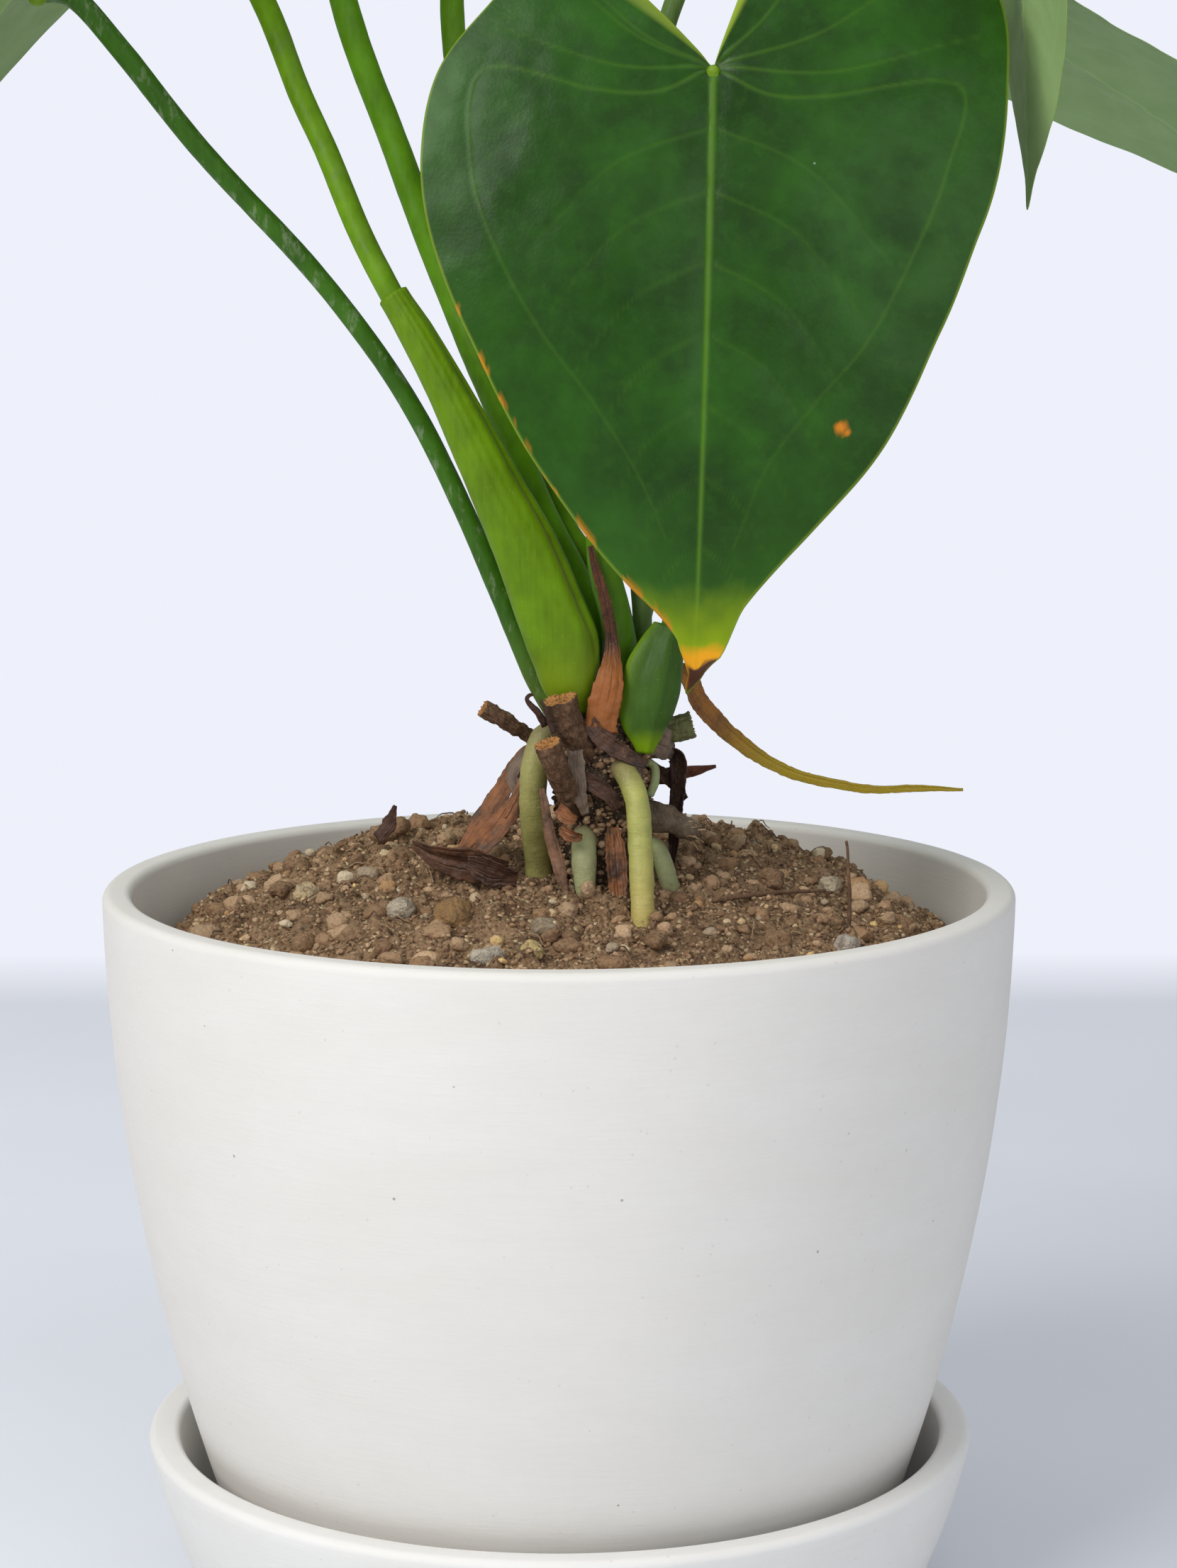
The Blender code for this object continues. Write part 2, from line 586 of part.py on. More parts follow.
def socket(piece, body, grow=GAP):
    """Cuts from the body the room that the piece takes up in it, a clearance larger all round."""
    bpy.context.view_layer.update()
    evaluated = piece.evaluated_get(bpy.context.evaluated_depsgraph_get())
    data = bpy.data.meshes.new_from_object(evaluated)
    shape = bmesh.new()
    shape.from_mesh(data)
    bmesh.ops.remove_doubles(shape, verts=shape.verts, dist=MERGE)
    bmesh.ops.recalc_face_normals(shape, faces=shape.faces)
    shape.normal_update()
    moves = [vertex.normal * vertex.calc_shell_factor() * grow * MM for vertex in shape.verts]
    for vertex, move in zip(shape.verts, moves):
        vertex.co += move
    shape.to_mesh(data)
    shape.free()
    cutter = bpy.data.objects.new(f"{body.name}_room_for_{piece.name}", data)
    cutter.hide_render = True
    cutter.display_type = "WIRE"
    CUTTERS.objects.link(cutter)
    cut = body.modifiers.new("room for " + piece.name, "BOOLEAN")
    cut.operation = "DIFFERENCE"
    cut.solver = "EXACT"
    cut.object = cutter


def build():
    build_saucer()
    build_pot()
    soil = build_soil()
    crown = build_crown()
    for index, stone in enumerate(STONES):
        socket(build_stone(index, *stone), soil)
    socket(crown, soil)
    sheaths = {name: loft(name, sections, "sheath_green") for name, sections in SHEATHS.items()}
    petioles = {name: build_petiole(name) for name in PETIOLES}
    for name in LEAVES:
        build_leaf(name)
    socket(petioles["upper_left"], sheaths["sheath_left"])
    socket(petioles["right"], sheaths["sheath_right"])
    roots = {name: stem(name, *route, "root_green") for name, route in ROOTS.items()}
    stubs = {name: stem(name, *route, "stub_brown") for name, route in STUBS.items()}
    for name, (route, widths, across, cup) in DRY.items():
        ribbon(name, route, widths, across, cup, "bract_rust")
    twigs = {name: stem(name, *route, "twig_brown") for name, route in TWIGS.items()}
    for name in ("aerial_root_left", "aerial_root_middle", "aerial_root_front", "aerial_root_right"):
        socket(roots[name], soil)
    socket(twigs["twig_upright"], soil)
    grown = [*roots.values(), *stubs.values(), *sheaths.values()]
    grown += [petioles[name] for name in PETIOLES if name not in ("upper_left", "right")]
    for piece in grown:
        socket(piece, crown)


clear_scene()
PARTS = new_collection("potted_anthurium")
CUTTERS = new_collection("cutters")
build()
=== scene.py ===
"""Looks of the potted anthurium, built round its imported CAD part.

Lengths are in millimetres here and become metres as each mesh is made. The origin is the centre of the
saucer's underside, +Z is up, and the front of the plant faces -Y.
"""

import math
import random

import bmesh
import bpy
import numpy as np
from mathutils import Matrix, Vector


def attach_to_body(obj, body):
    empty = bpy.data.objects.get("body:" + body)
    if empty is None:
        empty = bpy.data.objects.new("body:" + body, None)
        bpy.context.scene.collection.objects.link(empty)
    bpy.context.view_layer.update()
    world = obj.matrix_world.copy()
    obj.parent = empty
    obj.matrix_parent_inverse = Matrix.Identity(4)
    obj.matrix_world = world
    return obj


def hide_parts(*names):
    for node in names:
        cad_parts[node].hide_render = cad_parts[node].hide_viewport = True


MM = 0.001
GAP = 0.3  # clearance between pieces that touch

# Camera and stage
CAMERA_PLACE = (0.0, -0.7732, 0.30232)
CAMERA_TURN = (81.284, 0.0, -0.474)
CAMERA_LENS = 81.77
CAMERA_SENSOR = 36
LIGHT_AIM = (0, 0, 0.2)
LIGHTS = (  # name, place, size in metres, power in watts, colour
    ("key", (-1.1, -1.1, 1.4), 1.1, 27, (1.0, 0.985, 0.96)),
    ("fill", (0.8, -1.5, 0.8), 1.2, 7, (0.95, 0.97, 1.0)),
    ("top", (0.0, 0.2, 1.7), 1.6, 9, (0.98, 0.99, 1.0)),
)
FLOOR_FRONT = -2.4
FLOOR_HALF = 3.0
FLOOR_BACK = 0.72  # where the floor ends and the backdrop starts
FLOOR_FADE = 0.10  # depth over which the floor turns into the backdrop
SKY = (0.855, 0.878, 0.960)
SKY_LIGHT = 0.42  # strength of the sky as a light, next to how it looks

# Pot and saucer
ROUND_STEPS = 288
POT_RIM_Z = 162.0
POT_RIM_RADIUS = 100.0
POT_WALL = 6.4
POT_FLOOR = 8.0
POT_DRAW = 0.015
POT_CURVE = 0.00116
POT_EDGE = 1.9
POT_FOOT = 5.0
POT_FOOT_Z = 5.3
DRAIN_RADIUS = 6.0
SAUCER_RIM_Z = 40.0
SAUCER_RIM_RADIUS = 92.3
SAUCER_WALL = 6.9
SAUCER_FLOOR = 5.0
SAUCER_DRAW = 0.19
SAUCER_CURVE = 0.004
SAUCER_EDGE = 1.8
SAUCER_FOOT = 3.0

# Soil
SOIL_PEAK = POT_RIM_Z + 5.5
SOIL_FALL = 23.5
SOIL_TILT = 0.16
SOIL_RADIUS = 93.0
SOIL_BOTTOM = 13.7

# Half outline of a heart-shaped blade: angle from the tip in degrees, distance from the sinus over the length
HEART = (
    (0, 1.0), (3, 0.90), (8, 0.81), (20, 0.69), (40, 0.565), (65, 0.49),
    (90, 0.455), (112, 0.45), (132, 0.43), (150, 0.35), (162, 0.2),
)
FRONT_RIGHT = (
    (0, 1.0), (2.5, 0.93), (5, 0.85), (13.5, 0.745), (22.5, 0.675), (41.5, 0.547), (60, 0.488),
    (89, 0.462), (104.5, 0.472), (120, 0.475), (135, 0.45), (150, 0.36), (162, 0.2),
)
FRONT_LEFT = (
    (0, 1.0), (2, 0.90), (7.5, 0.825), (21.5, 0.687), (40.5, 0.568), (71.5, 0.475),
    (88, 0.43), (104, 0.37), (120, 0.33), (135, 0.2),
)
BLADE_THICKNESS = 0.8

# name: where the petiole joins, way of the midrib there, way the upper side faces,
# length, bend over the length in degrees, V of the two halves, curl of the margins per mm
LEAVES = {
    "front": ((31.1, -45.0, 336.6), (-0.03, -0.346, -0.938), (0, -0.938, 0.346), 129.5, 36, 0.10, 0.0030),
    "left": ((-111.0, 1.0, 358.0), (-0.72, -0.08, -0.69), (-0.66, 0.30, 0.69), 112.0, 42, 0.42, 0.0030),
    "right": ((100.3, 41.6, 350.9), (0.85, 0.28, -0.45), (0.41, 0.19, 1.05), 100.0, 10, 0.12, 0.0040),
    "right_hanging": ((94.0, -30.0, 363.6), (0.14, 0.12, -0.98), (0.985, 0.16, 0.15), 56.0, 10, 0.14, 0.0040),
    "upper_left": ((-114.0, 52.0, 404.0), (-0.86, 0.42, -0.28), (-0.25, 0.12, 0.96), 116.0, 34, 0.18, 0.0030),
    "top": ((-60.0, 20.0, 448.0), (-0.52, -0.82, -0.22), (-0.16, -0.18, 0.97), 126.0, 30, 0.16, 0.0030),
    "back": ((6.0, 68.0, 428.0), (0.18, 0.95, -0.24), (0.05, 0.24, 0.97), 120.0, 34, 0.16, 0.0030),
    "upper_right": ((72.0, 34.0, 411.0), (0.90, -0.40, -0.14), (0.14, -0.06, 0.97), 122.0, 26, 0.16, 0.0030),
}
OUTLINES = {"front": (FRONT_LEFT, FRONT_RIGHT)}

# Petioles: route up to a little below the blade, then the radii from foot to top
PETIOLES = {
    "left": (
        ((2, -6, 196), (-4, -6.5, 206), (-8.5, -6, 216), (-20.5, 0, 244), (-33.5, 4, 269),
         (-52, 7, 294), (-77, 8, 321), (-93, 8, 341), (-103.5, 7, 353)),
        (2.3, 2.1, 2.1, 2.3),
    ),
    "upper_left": (
        ((-31.5, -10, 283), (-36.6, -8, 292.4), (-42.3, -4, 303.5), (-49, 2, 319.4),
         (-56, 8, 334), (-64.5, 16, 354), (-78, 35, 375), (-97, 46, 393)),
        (2.5, 2.5, 2.2),
    ),
    "top": (
        ((7, -8, 197), (6.6, -8.6, 211), (5.6, -8.8, 225), (-4.8, -5, 246.5), (-16, 0, 273),
         (-24.2, 5, 292.3), (-33.2, 10, 316.4), (-46.7, 17, 353.4), (-54, 21, 390), (-58.5, 23, 426)),
        (3.1, 3.0, 2.9, 2.5),
    ),
    "back": (
        ((8.8, -1.5, 196), (9.6, -2.2, 214), (8.4, -1.8, 229), (-2.5, 2, 248.5), (-13.7, 16, 292.4),
         (-23, 30, 343.6), (-21, 40, 375), (-9, 54, 407)),
        (2.5, 2.5, 2.6, 2.3),
    ),
    "front": (
        ((13, -11, 197), (13.8, -12, 211), (12.2, -14.5, 222), (9.3, -17, 236), (9.4, -22, 263),
         (14.5, -27, 293), (22, -32, 318)),
        (3.4, 3.2, 2.8, 2.3),
    ),
    "upper_right": (
        ((16.8, -5.5, 195), (18, -6.5, 207), (18, -8.6, 217), (17.4, -9.5, 228), (15.6, -6, 248),
         (16.5, 8, 292), (20, 20, 331), (28, 27, 360), (48, 33, 393)),
        (2.0, 2.0, 2.1, 2.0),
    ),
    "right": (
        ((22.6, -18.6, 213), (24.8, -16, 222), (31.5, -8, 234), (43.6, 3, 254), (60.5, 11, 282.5),
         (73.5, 22, 304.6), (90, 35, 331)),
        (2.5, 2.4, 2.2, 2.0),
    ),
    "right_hanging": (
        ((12.5, 3, 193), (15, 4, 208), (26.5, 6, 250), (39.8, 1, 290), (59.2, -10, 323.7),
         (79, -22.5, 346.6)),
        (2.1, 2.0, 1.8, 1.6),
    ),
}

# The creeping stem: centre and radius, from the buried end to the top
CROWN = (
    ((9, -12, 148), 6.0), ((9.2, -12, 156), 8.2), ((9.5, -12, 166), 9.2), ((9.5, -12, 178), 9.2),
    ((9.5, -12, 189), 9.9), ((9.2, -12.2, 196), 9.4), ((8.8, -12.6, 201), 7.6), ((8.6, -12.8, 204), 4.5),
)

ROOTS = {
    "aerial_root_left": (
        ((1.5, -13, 196.5), (-2.8, -15.6, 196.8), (-4.6, -17.2, 193.5), (-5.6, -18, 187), (-5.6, -16, 179.5),
         (-5, -12, 171.5), (-4.4, -9.5, 164), (-4, -8, 155)),
        (2.6, 3.0, 3.0, 2.6),
    ),
    "aerial_root_middle": (
        ((5.6, -18.5, 175.5), (5.2, -23.5, 174.5), (5.3, -26.5, 169), (5.6, -28, 162), (5.8, -28.6, 153)),
        (2.8, 2.6, 2.0, 1.6),
    ),
    "aerial_root_front": (
        ((12.5, -19, 190.5), (14.2, -24.2, 189.6), (16.4, -28, 184.5), (17.1, -31, 175.8), (17.3, -34, 169),
         (17.6, -37, 161), (17.8, -38.6, 152)),
        (2.6, 2.6, 2.6, 2.2),
    ),
    "aerial_root_right": (
        ((16, -14.5, 171.5), (20.4, -17, 172.6), (22.2, -18.4, 169.5), (24, -20, 163.3), (25, -21, 155)),
        (2.0, 2.1, 2.0, 1.6),
    ),
    "aerial_root_thin": (
        ((17, -14.5, 191.2), (20.2, -16, 190.2), (20.6, -17, 187.2), (19.6, -17.4, 184.4)),
        (0.9, 0.9, 0.9),
    ),
    "aerial_root_knotted": (
        ((15, -15.6, 180.4), (19.5, -17.6, 179.7), (23.5, -18, 178.6), (28.3, -18, 176.4)),
        (3.3, 3.6, 3.1, 2.2),
    ),
}

STUBS = {
    "cut_stub_double": (((6.3, -18.6, 191.5), (4.4, -22.2, 195.5), (1.6, -25.2, 201), (0, -27, 206)),
                        (2.4, 2.6, 3.1)),
    "cut_stub_front": (((3.4, -20.2, 181.6), (2.2, -23.6, 184), (-0.1, -27.8, 190.5), (-2.6, -30.2, 197)),
                       (2.3, 2.3, 2.6)),
    "cut_stub_thin": (((-0.2, -9.6, 190.6), (-6.2, -11, 195.6), (-11.6, -13, 199.6), (-16.3, -14, 202.4)),
                      (1.4, 1.4, 1.9)),
    "cut_stub_right": (((15.6, -11.8, 193.4), (21, -12, 196.2), (24.7, -12, 197.5), (28.6, -12, 198.6)),
                       (2.5, 2.5, 2.7)),
}

SHEATHS = {
    "sheath_left": (
        ((4.0, -17.8, 202), 2.6, 2.2), ((3.2, -18.2, 205), 5.0, 3.8), ((2.2, -18.8, 209.5), 6.5, 4.6),
        ((0.8, -19.4, 217), 7.8, 5.0), ((-2.6, -19.2, 226), 7.5, 4.6), ((-7.4, -18.6, 238), 6.9, 4.2),
        ((-15.0, -17, 253.5), 5.5, 3.9), ((-22.8, -14, 269), 4.5, 3.6), ((-30.0, -11, 282), 3.8, 3.4),
        ((-35.2, -8.8, 290.2), 3.3, 3.1),
    ),
    "sheath_right": (
        ((18.3, -21.6, 193.8), 1.4, 1.0), ((18.4, -21.6, 197), 3.6, 2.2), ((18.4, -21.2, 201.5), 5.6, 3.2),
        ((19.4, -20.6, 206.5), 6.3, 3.6), ((20.6, -20, 211.5), 6.0, 3.6), ((22.2, -19, 216.5), 4.6, 3.3),
        ((23.6, -17.8, 220), 3.4, 3.0),
    ),
}

# Dried bracts and leaf remains: route, widths along it, the way across, cupping
DRY = {
    "dry_bract_upright": (
        ((8.9, -24.8, 198.6), (9.2, -25, 203), (10.6, -24.6, 209.5), (11.2, -20.4, 217), (9.8, -21.4, 226),
         (7.8, -21.8, 233), (6.6, -21.4, 238)),
        (6.6, 7.0, 5.0, 2.6, 2.4, 2.2, 1.2), (1, 0, 0), 0.10,
    ),
    "dry_bract_curling": (
        ((19.8, -1.5, 196), (23.5, -3.6, 204), (27.2, -6, 209), (30, -6, 203.2), (34.6, -5, 197.8),
         (42.7, -4, 190.9), (51.7, -3, 186.2), (60.8, -2, 183.9), (69.6, -2, 182.7), (79, -2, 183),
         (88.5, -2, 182.7)),
        (4.4, 4.6, 4.6, 4.4, 3.8, 3.0, 2.4, 2.1, 1.8, 1.5, 0.6), (0.45, 0.45, 0.75), 0.10,
    ),
    "dry_bract_spike": (
        ((19.4, -6.4, 186), (24, -7, 186.6), (29, -8, 187.8), (34, -9, 189)),
        (3.4, 3.6, 2.4, 0.6), (0, 0.4, 1), 0.10,
    ),
    "dry_bract_hanging": (
        ((19.9, -9.6, 192.4), (24.2, -10.6, 192.6), (26, -11.2, 190), (25.8, -11.4, 183), (25, -11.4, 175),
         (24.6, -11.4, 168.2)),
        (5.5, 5.0, 4.2, 3.8, 3.2, 1.4), (0.75, -0.66, 0), 0.10,
    ),
    "dry_bract_left": (
        ((-1.4, -4.6, 191), (-6.4, -5, 191.8), (-10.6, -6, 185.7), (-15.3, -8, 178.4), (-21.4, -10, 170.4)),
        (4.0, 5.0, 6.5, 7.0, 3.0), (0.66, -0.75, 0), 0.08,
    ),
    "dry_leaf_curled": (
        ((-31.6, -15, 173), (-26, -19, 170.8), (-18, -21.4, 169.6), (-11, -21.6, 168.6)),
        (2.0, 6.0, 8.6, 4.0), (0.1, -0.35, 1), 0.08,
    ),
    "dry_strip_front": (
        ((-3.6, -24.4, 186.6), (-2.2, -25.6, 178), (-0.4, -26.6, 171), (1.0, -27.6, 166.4),
         (1.9, -28.2, 163.8)),
        (1.2, 2.0, 2.8, 2.6, 0.8), (1, -0.3, 0), 0.05,
    ),
}
DRY_THICKNESS = 0.5

# Larger stones in the soil: place over the soil, half sizes, turn in degrees, colour
STONES = (
    ((-54.5, -12.7), (3.0, 2.6, 2.2), 20, (0.60, 0.46, 0.27)),
    ((-33.6, -31.7), (3.6, 3.0, 2.6), 75, (0.56, 0.48, 0.36)),
    ((-22.2, -37.6), (4.8, 4.0, 3.6), 10, (0.33, 0.19, 0.08)),
    ((-3.0, -44.0), (3.4, 2.8, 2.2), 50, (0.36, 0.28, 0.19)),
    ((-5.7, -55.5), (3.2, 2.6, 2.2), 120, (0.66, 0.50, 0.22)),
    ((-14.5, -57.5), (3.8, 3.0, 2.4), 160, (0.52, 0.46, 0.37)),
    ((59.3, -4.4), (3.0, 2.6, 2.2), 35, (0.56, 0.46, 0.32)),
    ((60.2, -38.0), (3.2, 2.8, 2.4), 80, (0.54, 0.48, 0.40)),
)
STONE_SINK = 0.45

TWIGS = {
    "twig_upright": (((61.2, -31.5, 149), (61.4, -31.5, 163), (60.6, -31, 176)), (0.5, 0.45, 0.3)),
    "twig_lying": (((33, -29, 163.2), (45, -23, 163.6), (57.5, -14.5, 162.6)), (0.6, 0.55, 0.35)),
}

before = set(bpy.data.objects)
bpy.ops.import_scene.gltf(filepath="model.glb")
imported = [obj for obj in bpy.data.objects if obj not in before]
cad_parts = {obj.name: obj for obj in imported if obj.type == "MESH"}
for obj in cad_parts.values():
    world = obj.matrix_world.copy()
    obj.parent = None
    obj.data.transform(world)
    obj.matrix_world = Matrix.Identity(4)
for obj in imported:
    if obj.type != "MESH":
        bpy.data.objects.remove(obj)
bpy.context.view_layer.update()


# ---------------------------------------------------------------- numbers and noise

def hash01(cells, seed):
    """A repeatable number from 0 to 1 for each whole-numbered cell."""
    value = cells[..., 0] * 374761393 + cells[..., 1] * 668265263 + cells[..., 2] * 2147483647 + seed * 144665
    value = (value ^ (value >> 13)) * 1274126177
    value = value ^ (value >> 16)
    return (value & 0xFFFFFF) / float(0xFFFFFF)


def value_noise(points, size, seed=0):
    """Smooth noise from -1 to 1 at these points, with features of about this size."""
    scaled = np.asarray(points, float) / size
    cell = np.floor(scaled).astype(np.int64)
    part = scaled - cell
    part = part * part * part * (part * (part * 6 - 15) + 10)
    total = np.zeros(len(scaled))
    for corner in range(8):
        step = np.array([corner & 1, corner >> 1 & 1, corner >> 2 & 1])
        weight = np.prod(np.where(step == 1, part, 1 - part), axis=1)
        total += weight * hash01(cell + step, seed)
    return total * 2 - 1


def layered(points, size, octaves=4, seed=0, rough=0.5):
    """Noise from -1 to 1 whose finer octaves each add less."""
    total, weight, most = np.zeros(len(points)), 1.0, 0.0
    for octave in range(octaves):
        total += weight * value_noise(points, size / 2**octave, seed + octave * 17)
        most += weight
        weight *= rough
    return total / most


def smooth_step(low, high, value):
    share = np.clip((value - low) / (high - low), 0, 1)
    return share * share * (3 - 2 * share)


def ridge(values, centre, width):
    """1 at the centre, falling away over about this width on both sides."""
    return np.exp(-(((values - centre) / width) ** 2))


def spread(values, share):
    """The value at this share of an even list, from 0 at its start to 1 at its end."""
    at = share * (len(values) - 1)
    low = min(int(at), len(values) - 2)
    return values[low] + (values[low + 1] - values[low]) * (at - low)


def smooth_route(points, per_span):
    """Points of a Catmull-Rom curve through the given ones."""
    known = [Vector(point) for point in points]
    padded = [2 * known[0] - known[1], *known, 2 * known[-1] - known[-2]]
    route = []
    for before, start, end, after in zip(padded, padded[1:], padded[2:], padded[3:]):
        for step in range(per_span):
            t = step / per_span
            bend = 2 * before - 5 * start + 4 * end - after
            twist = 3 * start - before - 3 * end + after
            route.append(start + 0.5 * ((end - before) * t + bend * t**2 + twist * t**3))
    return [*route, known[-1]]


SPAN_STEPS = 24  # points in each span of a measured curve


def measured(points):
    """A fine smooth curve through the points, and the length up to each of its own."""
    dense = np.array([tuple(point) for point in smooth_route(points, SPAN_STEPS)])
    return dense, np.concatenate([[0], np.cumsum(np.linalg.norm(np.diff(dense, axis=0), axis=1))])


def even_route(points, step):
    """A smooth curve through the points, resampled at this spacing, as an array."""
    dense, along = measured(points)
    count = max(int(along[-1] / step), 4) + 1
    at = np.linspace(0, along[-1], count)
    return np.stack([np.interp(at, along, dense[:, axis]) for axis in range(3)], axis=1)


def unit(vectors):
    return vectors / np.linalg.norm(vectors, axis=-1, keepdims=True)


def frames_along(route):
    """Unit vectors along, across and out at each point, turning as little as they can."""
    along = unit(np.gradient(route, axis=0))
    start = np.array([1.0, 0, 0]) if abs(along[0][0]) <= 0.9 else np.array([0, 1.0, 0])
    across = [unit(start - along[0] * (start @ along[0]))]
    for way in along[1:]:
        across.append(unit(across[-1] - way * (across[-1] @ way)))
    across = np.array(across)
    return along, across, np.cross(along, across)


# ---------------------------------------------------------------- pieces

def piece(name, points, faces, material, nodes=(), smooth=True, shares=None):
    """A piece from points in millimetres, which rides on the row's one body."""
    data = bpy.data.meshes.new(name)
    data.from_pydata([tuple(p) for p in np.asarray(points) * MM], [], faces)
    data.validate()
    if smooth:
        data.shade_smooth()
    for key, values in (shares or {}).items():
        values = np.asarray(values, dtype=np.float32)
        if values.ndim == 2:
            layer = data.attributes.new(key, "FLOAT_COLOR", "POINT")
            full = np.ones((len(values), 4), dtype=np.float32)
            full[:, :3] = values
            layer.data.foreach_set("color", full.ravel())
        else:
            layer = data.attributes.new(key, "FLOAT", "POINT")
            layer.data.foreach_set("value", values)
    data.materials.append(material)
    thing = bpy.data.objects.new(name, data)
    bpy.context.scene.collection.objects.link(thing)
    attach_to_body(thing, "root")
    if nodes:
        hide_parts(*nodes)
    return thing


def flipped(face):
    return (face[0], *face[:0:-1])


def grid_faces(rows, columns, closed=True):
    """Quads between rows of points. closed joins the end of each row to its start."""
    faces = []
    for row in range(rows - 1):
        for column in range(columns if closed else columns - 1):
            a, b = row * columns + column, row * columns + (column + 1) % columns
            faces.append((a, b, b + columns, a + columns))
    return faces


def end_fans(rows, columns, first, last):
    """Triangles that close a tube of rows on the points first and last."""
    faces, top = [], (rows - 1) * columns
    for column in range(columns):
        after = (column + 1) % columns
        faces += [(first, after, column), (last, top + column, top + after)]
    return faces


def sheet_faces(rows, columns, close_start=True):
    """A sheet with two skins, whose upper points come before its lower ones."""
    total = rows * columns
    upper = grid_faces(rows, columns, False)
    faces = upper + [flipped([index + total for index in face]) for face in upper]
    edges = [(range(0, total, columns), True), (range(columns - 1, total, columns), False),
             (range(total - columns, total), True)]
    if close_start:
        edges.append((range(columns), False))
    for edge, turn in edges:
        wall = [(a, a + total, b + total, b) for a, b in zip(edge, edge[1:])]
        faces += [flipped(face) for face in wall] if turn else wall
    return faces


def tube_mesh(route, radii, sides=28, oval=0.0, wobble=0.0, wobble_size=4.0, seed=0, round_start=False,
              round_end=False, end_dip=0.0):
    """A closed tube: its points and faces, and how far along and around it each point lies, from 0 to 1."""
    route, radii = np.asarray(route, float), np.asarray(radii, float)
    turns = np.radians([20, 40, 58, 74, 86])
    if round_start:
        way = unit(route[0] - route[1])
        cap = np.array([route[0] + way * radii[0] * math.sin(t) for t in turns])
        radii = np.concatenate([(radii[0] * np.cos(turns))[::-1], radii])
        route = np.vstack([cap[::-1], route])
    if round_end:
        way = unit(route[-1] - route[-2])
        cap = np.array([route[-1] + way * radii[-1] * math.sin(t) for t in turns])
        route, radii = np.vstack([route, cap]), np.concatenate([radii, radii[-1] * np.cos(turns)])
    along, across, out = frames_along(route)
    angles = np.linspace(0, 2 * math.pi, sides, endpoint=False)
    ring = (np.cos(angles)[None, :, None] * across[:, None, :]
            + np.sin(angles)[None, :, None] * out[:, None, :])
    widths = radii[:, None] * (1 + oval * np.cos(2 * angles)[None, :])
    points = (route[:, None, :] + ring * widths[..., None]).reshape(-1, 3)
    if wobble:
        points = points + ring.reshape(-1, 3) * (layered(points, wobble_size, 4, seed) * wobble)[:, None]
    count = len(route)
    faces = grid_faces(count, sides) + end_fans(count, sides, len(points), len(points) + 1)
    points = np.vstack([points, route[0], route[-1] - along[-1] * end_dip])
    share = np.concatenate([np.repeat(np.linspace(0, 1, count), sides), [0, 1]])
    around = np.concatenate([np.tile(angles / (2 * math.pi), count), [0, 0]])
    return points, faces, share, around


def spread_array(values, count):
    return np.array([spread(values, step / (count - 1)) for step in range(count)])


# ---------------------------------------------------------------- materials

